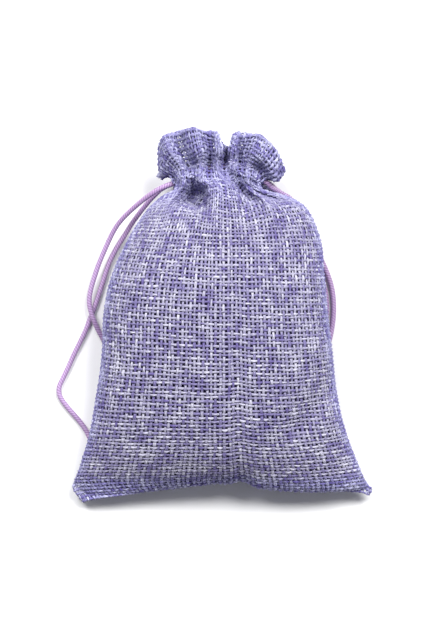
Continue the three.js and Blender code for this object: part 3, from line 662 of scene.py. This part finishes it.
# Gathers of the front: share of the cloth from seam to seam, then x, y and height under the casing, at its
# lower wall, on it, at its upper wall, above it and at the top edge; a wall that is None follows the casing
levels = ("under", "low", "casing", "high", "flare", "top")
gatherTable = [
    (-1.0, (-20.6, 40.2, 0), None, (-16.2, 45.3, 0),
     (-17.4, 46.2, 0), (-19.2, 45.2, -1), (-20.5, 45.2, -3)),
    (-0.88, (-18.8, 40.7, 3.6), None, (-15.4, 45.6, 4.4),
     (-17.2, 46.8, 3.8), (-19.8, 47.4, 2.8), (-21.0, 50.4, 1.0)),
    (-0.72, (-16.6, 41.0, 6.2), None, (-14.2, 46.0, 7.0),
     (-15.2, 48.6, 7.4), (-18.8, 52.6, 8.0), (-20.9, 57.2, 6.2)),
    (-0.54, (-13.2, 41.2, 7.4), None, (-12.2, 46.5, 8.6), None, (-15.8, 54.4, 10.6), (-18.4, 60.0, 9.8)),
    (-0.36, (-8.6, 40.0, 0.4), (-9.0, 44.2, 4.4), (-9.6, 47.2, 7.2),
     (-10.2, 50.3, 3.0), (-12.0, 53.8, 2.2), (-14.4, 61.0, 3.6)),
    (-0.2, (-5.5, 41.2, 4.2), None, (-7.8, 47.6, 8.2), None, (-9.8, 54.6, 9.4), (-11.6, 61.8, 9.4)),
    (-0.11, (-4.0, 42.4, 9.4), None, (-5.8, 47.9, 8.8), None, (-6.0, 55.2, 11.8), (-7.6, 62.3, 11.4)),
    (-0.03, (-1.2, 43.0, 10.6), (-2.9, 45.7, 8.2), (-3.4, 48.3, 6.2),
     None, (-2.8, 54.8, 5.2), (-4.0, 61.0, 6.6)),
    (0.05, (1.6, 43.1, 10.8), (-0.2, 46.0, 9.8), (-1.0, 48.7, 9.0),
     None, (-0.2, 53.8, 11.0), (-0.5, 59.4, 10.6)),
    (0.13, (4.6, 42.8, 10.0), (2.7, 45.9, 9.4), (1.5, 48.8, 6.4), None, (1.9, 52.6, 3.4), (2.6, 56.4, 2.8)),
    (0.26, (7.9, 41.8, 1.8), (5.6, 45.3, 4.6), (3.9, 48.6, 8.6), None, (4.0, 54.6, 9.6), (4.8, 59.6, 9.4)),
    (0.38, (10.4, 42.0, 8.0), None, (6.5, 48.1, 6.2), None, (6.2, 54.4, 2.6), (8.4, 60.3, 4.6)),
    (0.52, (12.6, 41.6, 4.6), None, (9.2, 47.2, 8.4), None, (10.8, 54.6, 11.0), (13.2, 60.1, 10.8)),
    (0.76, (15.8, 41.4, 6.2), None, (12.4, 46.1, 6.4),
     (13.4, 48.8, 5.6), (16.2, 50.4, 10.0), (19.4, 54.6, 8.0)),
    (0.9, (18.9, 41.0, 4.6), None, (14.0, 45.6, 4.4),
     (15.8, 45.8, 4.4), (18.8, 45.2, 5.8), (21.8, 49.2, 2.8)),
    (1.0, (21.2, 41.2, 0), None, (15.0, 45.2, 0),
     (16.2, 45.4, 0), (19.4, 44.6, -1.0), (22.2, 48.0, -4)),
]
frontGathers = [{"share": row[0], **{level: spot for level, spot in zip(levels, row[1:]) if spot}}
                for row in gatherTable]
backFolds = {
    "count": 10,
    "under": {"rise": 3.4, "ridge": -9.2, "valley": -6.0},
    "casing": {"rise": 4.2, "ridge": -8.9, "valley": -6.7},
    "flare": {"rise": 9.2, "ridge": -9.8, "valley": -5.4},
    "top": {"rise": 9.6, "ridge": -10.6, "valley": -4.8},
    "aside": 0.022, "asideStep": 2.3,  # how far the folds stray from an even row
    "uneven": 0.12, "unevenStep": 1.7,  # and over the casing in height
}
form = {
    "fullness": 0.82, "gatherDome": 8.5, "seamGap": 0.3, "seamCurve": 1.3, "casingHalf": 2.8,
    "casingRidge": 8.8, "wallDepth": 1.8,  # at both walls of the casing the creases are this much deeper
    "dimple": (-7.4, 38.4), "dimpleRadius": 3.1, "dimpleDepth": 9.8,
    "notchX": 7.4, "notchRise": 1.9, "notchWide": 3.4,
    "creaseFrom": (38.5, -20.5), "creaseTo": (26.5, -36.0), "creaseWide": 4.2, "creaseDepth": 2.2,
    "sagLeft": 0.6, "sagRight": 1.8,  # mm, how far the bottom seam hangs between middle and corners
    "gridRows": 421, "gridColumns": 401,
}
casingRow = len(bodyRows) + levels.index("casing")


def backGatherList():
    ends = (frontGathers[0], frontGathers[-1])
    count = backFolds["count"]
    listed = []
    for k in range(count + 1):
        s = k / count
        if 0 < k < count:
            s += backFolds["aside"] * math.sin(backFolds["asideStep"] * k)
        station = {"share": mix(-1, 1, s)}
        for level in ("under", "casing", "flare", "top"):
            x, y, height = (mix(ends[0][level][axis], ends[1][level][axis], s) for axis in range(3))
            if 0 < k < count:
                height = backFolds[level]["ridge" if k % 2 else "valley"]
                if level in ("flare", "top"):
                    height *= 1 - backFolds["uneven"] * (1 + math.sin(backFolds["unevenStep"] * k))
            station[level] = (x, y + backFolds[level]["rise"] * math.sin(math.pi * s), height)
        listed.append(station)
    return listed


def walled(listed):
    # the stitched walls of the casing, where a gather does not place them itself
    for gather in listed:
        x, y, height = gather["casing"]
        crease = np.sign(height) * (form["casingRidge"] - abs(height)) * (form["wallDepth"] - 1)
        pinched = height - crease if abs(height) > form["casingRidge"] / 2 else height
        gather.setdefault("low", (x, y - form["casingHalf"], pinched))
        gather.setdefault("high", (x, y + form["casingHalf"], pinched))
    return listed


gathers = {1: walled(frontGathers), -1: walled(backGatherList())}
for end in (0, -1):
    gathers[-1][end]["high"] = gathers[1][end]["high"]


def gatherAt(listed, level, shares):
    # smooth places along the gathers
    stops = np.array([g["share"] for g in listed])
    spots = np.array([g[level] for g in listed], float)
    last = len(stops) - 1
    k = np.clip(np.searchsorted(stops, shares) - 1, 0, last - 1)
    before, after = np.maximum(k - 1, 0), np.minimum(k + 2, last)
    run = (stops[k + 1] - stops[k])[:, None]
    s = np.clip((shares - stops[k])[:, None] / run, 0, 1)
    step = spots[k + 1] - spots[k]
    leave = run * (spots[k + 1] - spots[before]) / (stops[k + 1] - stops[before])[:, None]
    arrive = run * (spots[after] - spots[k]) / (stops[after] - stops[k])[:, None]
    bend, twist = 3 * step - 2 * leave - arrive, leave + arrive - 2 * step
    return (spots[k] + s * leave + s * s * bend + s ** 3 * twist).T


def bodyStation(row, shares, side):
    angle = shares * math.pi / 2
    dome = np.clip(np.cos(angle), 0, None) ** form["fullness"]
    seamX, seamY = np.where(shares[:, None] < 0, row["left"], row["right"]).T
    x = np.abs(seamX) * np.sin(angle)
    notch = form["notchRise"] * row["turn"] ** 2 * bell(x - form["notchX"], form["notchWide"])
    reach = np.abs(np.sin(angle))
    sag = np.where(shares < 0, form["sagLeft"], form["sagRight"]) * row["turn"] ** 2
    y = mix(row["midY"], seamY, reach ** form["seamCurve"]) - sag * np.sin(math.pi * reach) + notch
    z = mix(row["seamZ"], row["topZ"] if side > 0 else row["underZ"], dome)
    if side > 0:
        pleats = gatherAt(frontGathers, "under", shares)[2] - form["gatherDome"] * dome
        z = z + row["pleat"] * pleats
    return np.stack([x, y, z], axis=1)


def seamHeight(listed, level, shares):
    return casing["neckZ"] + mix(listed[0][level][2], listed[-1][level][2], (shares + 1) / 2)


def neckStation(listed, level, shares):
    x, y, height = gatherAt(listed, level, shares)
    return np.stack([x, y, casing["neckZ"] + height], axis=1)


def fromLine(places, start, end):
    # distance of every place from a straight line between two points
    start, run = np.array(start), np.subtract(end, start)
    share = np.clip((places - start) @ run / (run @ run), 0, 1)
    return np.linalg.norm(places - start - share[..., None] * run, axis=-1)


def clothFace(side):
    # outer face of a panel on a fine grid: rows from the bottom seam up, columns from seam to seam
    shares = np.linspace(-1, 1, form["gridColumns"])
    listed = gathers[side]
    stations = [bodyStation(row, shares, side) for row in bodyRows]
    stations += [neckStation(listed, level, shares) for level in levels]
    seams = [np.full(len(shares), row["seamZ"]) for row in bodyRows]
    seams += [seamHeight(listed, level, shares) for level in levels]
    rows = np.linspace(0, len(stations) - 1, form["gridRows"])
    face = through(np.array(stations), rows)
    if side > 0:
        dimpleX, dimpleY = form["dimple"]
        away = np.hypot(face[..., 0] - dimpleX, face[..., 1] - dimpleY)
        face[..., 2] -= form["dimpleDepth"] * bell(away, form["dimpleRadius"])
        aside = fromLine(face[..., :2], form["creaseFrom"], form["creaseTo"])
        crease = form["creaseDepth"] * bell(aside, form["creaseWide"])
        face[..., 2] -= crease * np.sqrt(np.clip(np.cos(shares * math.pi / 2), 0, None))
    seamZ = through(np.array(seams), rows)
    neck = rows > len(bodyRows) - 1
    face[neck, :, 2] = (seamZ + side * np.maximum(0, side * (face[..., 2] - seamZ)))[neck]
    face += (*cords["middle"], side * form["seamGap"] / 2)
    if side < 0:
        face[..., 2] = np.maximum(face[..., 2], 0)
    return rows, shares, face


def faceNormals(face, side):
    return side * unit(np.cross(np.gradient(face, axis=1), np.gradient(face, axis=0)))


def spread(grid, passes):
    # evens a grid out along its rows without moving the edges
    for _ in range(passes):
        grid[:, 1:-1] = 0.25 * grid[:, :-2] + 0.5 * grid[:, 1:-1] + 0.25 * grid[:, 2:]
    return grid


# Woven cloth: every yarn of both panels is laid over and under the ones that it crosses

weave = {
    "warps": 70,
    "pitch": 1.43,  # mm between yarns
    "warpWide": 0.93, "weftWide": 0.86, "yarnFlat": 0.66,
    "crimp": 0.27,  # mm that a yarn rises and sinks at a crossing
    "inset": 0.58,  # mm from the outer face to the middle of the cloth
    "uneven": 0.22,  # of a pitch
    "wander": 0.16, "wanderRun": (9, 45),  # of a pitch, and mm from the shortest to the longest wave
    "slub": 0.25, "slubRun": (4, 26),
    "narrowest": 0.5, "widest": 1.22,  # how far a yarn gives way to its neighbours
    "hemWidest": 0.16,  # how much more where the cloth lies double
    "evenings": 3,  # passes that take small kinks out of the form
    "seamGroove": 0.8, "seamGrooveRun": 1.5, "seamClose": 0.3,  # mm, how the seams draw the cloth in
    "slitOpen": 4.4,  # mm that the side seam gapes on either side where the cords come out
    "slitRun": 2.6, "slitRows": 0.75,
    "hemBelow": 1.0, "hemAbove": 2.0,  # rows of the form, where the hem ends and where it leaves the header
    "liningGap": 0.35,
    "hemFold": 0.5, "hemArc": 7,  # mm, radius of the turned edge, and points over it
    "hemFull": 0.12, "hemFullRun": 8,  # how much fuller the yarns inside lie
    "hemAside": 3, "hemShift": 0.25,  # columns and wefts, so that yarns inside lie behind gaps outside
    "pleats": 24,  # small pleats that the casing is drawn into
    "pleatDepth": 0.4,
    "pleatRun": 2.1,  # rows of the form
    "filledRows": (3, 8),  # rows of the form that give the cloth its width
    "shoulderRow": 8.0,  # below it the weft lies undisturbed by the gathers
    "doubleRun": 3.0,  # rows over which the look of the doubled cloth comes in
    "turning": 6.0,  # mm of cloth turned in behind the seams, over which the painted shade along them fades out
    "slope": 0.022, "slopeFrom": 0.12, "slopeRun": 0.62,  # how the weft of the front runs down to the right
    "fineSteps": 800,  # along a column, to look up the form's row at any share of the cloth
    "sides": 6,
    "seed": 11,
}
dyeLots = {1: 0, -1: 300}


def dressFace(side):
    # the outer face with what the cloth does on it: small pleats at the casing and a drawn-in seam
    rows, shares, face = clothFace(side)
    neck = smooth(1 - np.abs(rows - casingRow) / weave["pleatRun"])[:, None]
    across = 0.5 - 0.5 * np.cos(math.pi * weave["pleats"] * (shares + 1))
    face = spread(face, weave["evenings"])
    normal = faceNormals(face, side)
    fromSide = np.minimum(runLength(face, 1), runLength(face[:, ::-1], 1)[:, ::-1])
    fromBottom = runLength(face, 0)
    slit = bell(rows[:, None] - casingRow, weave["slitRows"])
    groove = bell(fromSide, weave["seamGrooveRun"]) * (1 - slit)
    groove = np.minimum(1, groove + bell(fromBottom, weave["seamGrooveRun"]))
    face = face - normal * (1, 1, 0) * (weave["seamGroove"] * groove)[..., None]
    face[..., 2] -= side * weave["seamClose"] * groove
    face = face - normal * (weave["pleatDepth"] * neck * across)[..., None]
    face[..., 2] += side * weave["slitOpen"] * slit * bell(fromSide, weave["slitRun"])
    return rows, shares, face, faceNormals(face, side)


def hemmed(rows, face, normal, side):
    # the middle of the cloth from the bottom seam over the top edge and down again inside
    inset, fold = weave["inset"], weave["hemFold"]
    outside = face - normal * inset
    tangent = unit(face[-1] - face[-2])
    centre = face[-1] - normal[-1] * (inset + fold)
    arc, arcUp = [], []
    for angle in np.linspace(0, math.pi, weave["hemArc"])[1:-1]:
        spoke = normal[-1] * math.cos(angle) + tangent * math.sin(angle)
        arc.append(centre + spoke * fold)
        arcUp.append(spoke)
    inner = np.flatnonzero(rows >= casingRow - weave["hemBelow"])[::-1]
    inside = face[inner] - normal[inner] * (inset + 2 * fold)
    lining = face[inner] * (1, 1, 0) + (0, 0, casing["neckZ"] + side * weave["liningGap"])
    drawn = smooth(casingRow + weave["hemAbove"] - rows[inner])[:, None, None]
    inside = mix(inside, lining, drawn)  # behind the cords the hem is drawn flat and shuts the mouth
    inward = unit(mix(-normal[inner], np.array((0.0, 0.0, -side)), drawn))
    aside = np.minimum(np.arange(face.shape[1]) + weave["hemAside"], face.shape[1] - 1)
    points = np.concatenate([outside, np.array(arc), inside[:, aside]])
    ups = np.concatenate([normal, np.array(arcUp), inward[:, aside]])
    return points, ups


def pick(grid, row, column):
    # grid values between its rows and columns
    r = np.clip(np.floor(row).astype(int), 0, grid.shape[0] - 2)
    c = np.clip(np.floor(column).astype(int), 0, grid.shape[1] - 2)
    s, t = row - r, column - c
    if grid.ndim == 3:
        s, t = s[..., None], t[..., None]
    return mix(mix(grid[r, c], grid[r, c + 1], t), mix(grid[r + 1, c], grid[r + 1, c + 1], t), s)


def alongRow(grid, rows, level, share):
    # grid values along one row of the form, at shares of the cloth from the middle to the seams
    column = (share + 1) / 2 * (grid.shape[1] - 1)
    return pick(grid, np.full(len(column), level / rows[-1] * (len(rows) - 1)), column)


def drift(dice, count, at, shortest, longest, waves=3):
    # slow random wandering between -1 and 1, one line for each yarn
    total = np.zeros((count, len(at)))
    for _ in range(waves):
        wave = dice.uniform(shortest, longest, (count, 1))
        phase = dice.uniform(0, 2 * math.pi, (count, 1))
        total += np.sin(2 * math.pi * at[None, :] / wave + phase)
    return total / waves


def yarnLines(dice, count, crossed, length):
    # where each yarn and each gap between two yarns runs, as shares of the cloth, for every place along it
    places = np.arange(2 * crossed + 1) / (2 * crossed)
    lines = (np.arange(count) + 0.5 + dice.uniform(-0.5, 0.5, count) * weave["uneven"]) / count
    astray = drift(dice, count, places * length, *weave["wanderRun"])
    lines = lines[:, None] + astray * weave["wander"] / count
    edges = np.concatenate([np.zeros((1, len(places))), lines, np.ones((1, len(places)))])
    between = 0.5 * (edges[:-1] + edges[1:])
    between[0], between[-1] = 0, 1
    both = np.empty((2 * count + 1, len(places)))
    both[1::2] = lines
    both[0::2] = between
    return both


def countWefts(rows, downLength):
    # wefts are spaced over the body, the neck and the hem, so that the top edge runs along one
    stops = [0, np.searchsorted(rows, weave["shoulderRow"]), len(rows) - 1, len(downLength) - 1]
    body, neck, hem = np.diff(downLength[stops], axis=0).mean(axis=1) / weave["pitch"]  # in wefts
    edge = round(body + neck) - weave["hemShift"]
    wefts = round(edge + hem)
    parts = [edge * body / (body + neck) / wefts, edge * neck / (body + neck) / wefts, 1 - edge / wefts]
    downShare = np.zeros_like(downLength)
    for first, last, part in zip(stops[:-1], stops[1:], parts):
        run = downLength[first:last + 1] - downLength[first]
        downShare[first:last + 1] = downShare[first] + part * run / run[-1]
    return wefts, downShare


def clothGrid(side, dice):
    # places and directions of the cloth at every yarn and every gap, with what shows where it lies double,
    # and the painted shade along the seams
    rows, shares, face, normal = dressFace(side)
    points, ups = hemmed(rows, face, normal, side)
    lowest, highest = weave["filledRows"]
    acrossLength = runLength(face[(rows > lowest) & (rows < highest)], 1)
    acrossShare = (acrossLength / acrossLength[:, -1:]).mean(axis=0)
    downLength = runLength(points, 0)
    wide, long = acrossLength[:, -1].mean(), downLength[-1].mean()
    wefts, downShare = countWefts(rows, downLength)
    print("panel", side, "cloth", round(wide, 1), "by", round(long, 1), "mm,", wefts, "wefts")
    warpAt = yarnLines(dice, weave["warps"], wefts, long).T
    weftAt = yarnLines(dice, wefts, weave["warps"], wide)
    if side > 0:
        leaning = np.clip((weftAt - weave["slopeFrom"]) / weave["slopeRun"], 0, 1)
        weftAt = weftAt - weave["slope"] * (warpAt - 0.5) * np.sin(math.pi * leaning) ** 2
    column = np.interp(warpAt, acrossShare, np.arange(len(shares)))
    fine = np.linspace(0, 1, weave["fineSteps"] + 1)
    rowOf = np.array([np.interp(fine, downShare[:, c], np.arange(len(points))) for c in range(len(shares))]).T
    row = pick(rowOf, weftAt * weave["fineSteps"], column)
    formRow = row / (len(rows) - 1) * rows[-1]
    doubled = smooth((formRow - weave["shoulderRow"]) / weave["doubleRun"])
    fullness = 1 + weave["hemFull"] * np.clip((row - len(rows)) / weave["hemFullRun"], 0, 1)
    fromSeam = np.minimum(np.minimum(warpAt, 1 - warpAt) * wide, weftAt * long)
    # painted shade: the doubled tint also runs along the side and bottom seams, where shade falls
    doubledTintAndSeamShade = np.maximum(doubled, smooth(2 - fromSeam / weave["turning"]))
    return pick(points, row, column), unit(pick(ups, row, column)), doubled, doubledTintAndSeamShade, fullness, wefts


def slubs(dice, line):
    return 1 + weave["slub"] * drift(dice, 1, runLength(line), *weave["slubRun"])[0]


def makeWeave(side, prefix, material):
    dice = np.random.default_rng(weave["seed"] + side)
    points, ups, doubled, doubledTintAndSeamShade, fullness, wefts = clothGrid(side, dice)
    warps, lot = weave["warps"], dyeLots[side]
    widest = weave["widest"] + weave["hemWidest"] * doubled
    over = np.where((np.arange(warps)[None, :] + np.arange(wefts)[:, None]) % 2, 1.0, -1.0)
    spacing = np.linalg.norm(points[:, 2::2] - points[:, :-2:2], axis=-1) / weave["pitch"]  # at every warp
    room = np.clip(spacing, weave["narrowest"], widest[:, 1::2])
    lift = np.zeros((2 * wefts + 1, warps))
    lift[1::2] = over * weave["crimp"]
    lift *= room
    paths = {"warp": [], "weft": []}
    for i in range(warps):
        at = 2 * i + 1
        line = points[:, at] + ups[:, at] * lift[:, i:i + 1]
        thick = room[:, i] * slubs(dice, line) * fullness[:, at]
        paths["warp"].append(sweepPath(line, i, ups[:, at], thick, lot, doubledTintAndSeamShade[:, at]))
    tall = np.linalg.norm(points[2::2] - points[:-2:2], axis=-1) / weave["pitch"]  # at every weft
    for j in range(wefts):
        at = 2 * j + 1
        line = points[at].copy()
        line[1::2] -= ups[at, 1::2] * lift[at][:, None]
        thick = np.clip(tall[j], weave["narrowest"], widest[at]) * slubs(dice, line) * fullness[at]
        paths["weft"].append(sweepPath(line, j, ups[at], thick, lot + warps, doubledTintAndSeamShade[at]))
    pieces = []
    for kind, lines in paths.items():
        name = f"{prefix}_{kind}"
        piece = sweepObject(name, lines, weave[kind + "Wide"], weave["yarnFlat"], weave["sides"], material)
        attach(piece, "pouch")
        pieces.append(piece)
        print(name, len(lines), "yarns,", len(piece.data.polygons), "faces")
    return pieces


def makePanels():
    material = linenMaterial()
    for side, prefix in ((1, "front"), (-1, "back")):
        warp, weft = makeWeave(side, prefix, material)
        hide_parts(prefix + "_panel")


makePanels()


# Filling: a packed heap of dried buds that shows through the weave

filling = {
    "rows": 46, "columns": 30, "firstRow": 1.7, "lastRow": 8.8,
    "edge": 0.74,  # share of the cloth from the middle to the seam that the heap reaches
    "inset": 2.6, "least": 0.3,
    "budLong": 3.6, "budWide": 1.7, "budSegments": 6, "budRings": 5,
    "grown": (0.75, 1.15), "spin": 6.283,
    "apart": 1.5, "crowd": 400000.0,
    "seed": 5,
}


def fillHeap():
    faces = {}
    for side in (1, -1):
        rows, _, face = clothFace(side)
        faces[side] = face - faceNormals(face, side) * filling["inset"]
    middle = 0.5 * (faces[1] + faces[-1])
    for side in (1, -1):
        half = np.maximum(side * (faces[side] - middle)[..., 2], filling["least"])
        faces[side][..., 2] = middle[..., 2] + side * half
    rings = []
    for level in np.linspace(filling["firstRow"], filling["lastRow"], filling["rows"]):
        ring = []
        for side in (1, -1):
            share = np.linspace(-1, 1, filling["columns"]) * filling["edge"] * side
            ring.append(alongRow(faces[side], rows, level, share))
        rings.append(np.concatenate(ring))
    rings = np.array(rings)
    around = rings.shape[1]
    points = np.concatenate([rings.reshape(-1, 3), rings[:1].mean(axis=1), rings[-1:].mean(axis=1)]) * mm
    turns = [(c, (c + 1) % around) for c in range(around)]
    top = (len(rings) - 1) * around
    quads = [(base + c, base + d, base + around + d, base + around + c)
             for base in range(0, top, around) for c, d in turns]
    bottomMiddle, topMiddle = len(points) - 2, len(points) - 1
    caps = [(d, c, bottomMiddle) for c, d in turns]
    caps += [(top + c, top + d, topMiddle) for c, d in turns]
    return meshObject("lavender_buds", points.tolist(), (), quads + caps)


def randomValue(tree, low, high, **feeds):
    made = addNode(tree, "FunctionNodeRandomValue", {"Min": low, "Max": high, **feeds}, data_type="FLOAT")
    return out(made, "Value")


def budTree():
    tree, given, result = newTree("scatterBuds", {
        "Apart": "Float", "Bud Length": "Float", "Bud Width": "Float", "Seed": "Int"})
    spots = addNode(tree, "GeometryNodeDistributePointsOnFaces", {
        "Mesh": out(given, "Geometry"), "Distance Min": out(given, "Apart"), "Density Max": filling["crowd"],
        "Seed": out(given, "Seed")}, distribute_method="POISSON")
    pod = addNode(tree, "GeometryNodeMeshUVSphere", {
        "Segments": filling["budSegments"], "Rings": filling["budRings"], "Radius": 0.5})
    size = vector(tree, X=out(given, "Bud Length"), Y=out(given, "Bud Width"), Z=out(given, "Bud Width"))
    bud = addNode(tree, "GeometryNodeTransform", {"Geometry": out(pod, "Mesh"), "Scale": size})
    turn = vector(tree, Z=randomValue(tree, 0.0, filling["spin"], Seed=out(given, "Seed")))
    pose = addNode(tree, "FunctionNodeRotateRotation", {
        "Rotation": out(spots, "Rotation"), "Rotate By": turn}, rotation_space="LOCAL")
    heap = addNode(tree, "GeometryNodeInstanceOnPoints", {
        "Points": out(spots, "Points"), "Instance": out(bud), "Rotation": out(pose),
        "Scale": randomValue(tree, *filling["grown"])})
    toned = addNode(tree, "GeometryNodeStoreNamedAttribute", {
        "Geometry": out(heap), "Name": "budTone", "Value": randomValue(tree, 0.0, 1.0)},
        data_type="FLOAT", domain="INSTANCE")
    joined = addNode(tree, "GeometryNodeJoinGeometry")
    tree.links.new(out(given, "Geometry"), joined.inputs[0])
    tree.links.new(out(toned), joined.inputs[0])
    finishTree(tree, out(joined), out(given, "Material"), result)
    return tree


def makeFilling():
    heap = grow(fillHeap(), budTree(), {
        "Apart": filling["apart"] * mm, "Bud Length": filling["budLong"] * mm,
        "Bud Width": filling["budWide"] * mm, "Seed": filling["seed"], "Material": budMaterial()})
    settle(heap, "pouch", "lavender_fill")
    print("filling", len(heap.data.polygons), "faces")


makeFilling()


# Stitching: thread that walls off the casing, and the thread of the closing seams

stitching = {
    "pitch": 2.7, "length": 2.0, "thread": 0.42, "arch": 0.25, "lift": 0.05,
    "low": 11.05, "high": 12.95,  # rows of the form
    "from": -0.74, "to": 0.70, "points": 160,
}
seaming = {
    "pitch": 2.3, "length": 1.9, "thread": 0.5, "arch": 0.15, "inset": 1.7,
    "sideFrom": 2.2, "sideShort": 0.2,  # rows of the form from the bottom, and short of the shoulder
    "bottomReach": 0.6,  # share of the cloth from the middle
}
stitchSides = 6


def stitchTree():
    tree, given, result = newTree("stitchRow", {
        "Pitch": "Float", "Length": "Float", "Thread": "Float", "Arch": "Float"})
    line = addNode(tree, "GeometryNodeMeshToCurve", {"Mesh": out(given, "Geometry")})
    spots = addNode(tree, "GeometryNodeResampleCurve", {
        "Curve": out(line), "Length": out(given, "Pitch")}, mode="LENGTH")
    half = times(tree, out(given, "Length"), 0.5)
    back = times(tree, out(given, "Length"), -0.5)
    low = times(tree, out(given, "Arch"), -1.0)
    bow = addNode(tree, "GeometryNodeCurveQuadraticBezier", {
        "Resolution": stitchSides, "Start": vector(tree, X=back, Z=low),
        "Middle": vector(tree, Z=out(given, "Arch")), "End": vector(tree, X=half, Z=low)})
    ring = addNode(tree, "GeometryNodeCurvePrimitiveCircle", {
        "Resolution": stitchSides, "Radius": times(tree, out(given, "Thread"), 0.5)})
    stitch = addNode(tree, "GeometryNodeCurveToMesh", {
        "Curve": out(bow), "Profile Curve": out(ring), "Fill Caps": True})
    pose = addNode(tree, "FunctionNodeAxesToRotation", {
        0: namedValue(tree, "up", "FLOAT_VECTOR"), 1: out(addNode(tree, "GeometryNodeInputTangent"))},
        primary_axis="Z", secondary_axis="X")
    row = addNode(tree, "GeometryNodeInstanceOnPoints", {
        "Points": out(spots), "Instance": out(stitch), "Rotation": out(pose)})
    finishTree(tree, out(row), out(given, "Material"), result)
    return tree


def makeStitches(name, points, ups, look, tree, material):
    row = pathsObject(name + "_thread", [sweepPath(points, up=ups)])
    sizes = {label: look[label.lower()] * mm for label in ("Pitch", "Length", "Thread", "Arch")}
    grow(row, tree, {**sizes, "Material": material})
    settle(row, "pouch", name)


def makeThreads():
    tree = stitchTree()
    material = threadMaterial()
    edges = {}
    for side, prefix in ((1, "front"), (-1, "back")):
        rows, shares, face, normal = dressFace(side)
        edges[side] = face
        share = np.linspace(stitching["from"], stitching["to"], stitching["points"])
        for level in ("low", "high"):
            up = unit(alongRow(normal, rows, stitching[level], share))
            line = alongRow(face, rows, stitching[level], share) + up * (stitching["lift"] - weave["inset"])
            makeStitches(f"{prefix}_stitch_{level}", line, up, stitching, tree, material)
    seam = 0.5 * (edges[1] + edges[-1])
    body = (rows > seaming["sideFrom"]) & (rows < len(bodyRows) - seaming["sideShort"])
    for name, column, inward in (("left_seam", 0, 1), ("right_seam", -1, -1)):
        line = seam[body, column] + (inward * seaming["inset"], 0, 0)
        makeStitches(name, line, np.tile((-inward, 0.0, 0.0), (len(line), 1)), seaming, tree, material)
    line = seam[0, np.abs(shares) < seaming["bottomReach"]] + (0, seaming["inset"], 0)
    makeStitches("bottom_seam", line, np.tile((0.0, -1.0, 0.0), (len(line), 1)), seaming, tree, material)
    print("threads made")


makeThreads()


# Stage and light: white table, two soft windows on the mouth's side, pale sky overhead

stage = {
    "half": 2.5, "low": -0.0002,  # m
    "surface": {"Roughness": 0.9, "Specular IOR Level": 0.1},
    "grainScale": 6.0, "shades": [(0.3, (0.83, 0.83, 0.83)), (0.7, (0.85, 0.85, 0.85))],
}
light = {
    "windows": {"windowLeft": (3.15, 30.0), "windowRight": (3.8, -36.0)},  # power and azimuth
    "angle": 26.0, "elevation": 51.0,
    "sky": 0.34, "skyColour": (0.93, 0.95, 1.0),  # as bright as this overhead, dark at the table's edge
}


def makeStage():
    half, low = stage["half"], stage["low"]
    corners = [(x * half, y * half, low) for x, y in ((-1, -1), (1, -1), (1, 1), (-1, 1))]
    floor = meshObject("table_top", corners, (), [(0, 1, 2, 3)])
    material, tree, shader = newMaterial("paleTable", stage["surface"])
    grain = noise(tree, objectPlace(tree), stage["grainScale"])
    tree.links.new(ramp(tree, grain, stage["shades"]), shader.inputs["Base Color"])
    floor.data.materials.append(material)


def makeLights():
    for name, (power, azimuth) in light["windows"].items():
        data = bpy.data.lights.new(name, "SUN")
        data.energy = power
        data.angle = math.radians(light["angle"])
        lamp = bpy.data.objects.new(name, data)
        lamp.rotation_euler = (math.radians(light["elevation"] - 90), 0, math.radians(azimuth))
        scene.collection.objects.link(lamp)
    world = bpy.data.worlds.new("paleSky")
    world.use_nodes = True
    tree = world.node_tree
    background = next(n for n in tree.nodes if n.type == "BACKGROUND")
    background.inputs["Color"].default_value = (*light["skyColour"], 1)
    seen = out(addNode(tree, "ShaderNodeTexCoord"), "Generated")
    height = out(addNode(tree, "ShaderNodeSeparateXYZ", {0: seen}), "Z")
    overhead = times(tree, maths(tree, "MAXIMUM", height, 0.0), light["sky"])
    tree.links.new(overhead, background.inputs["Strength"])
    scene.world = world
    scene.view_settings.view_transform = "Standard"
    scene.view_settings.look = "None"


makeStage()
makeLights()
print("stage and light made")
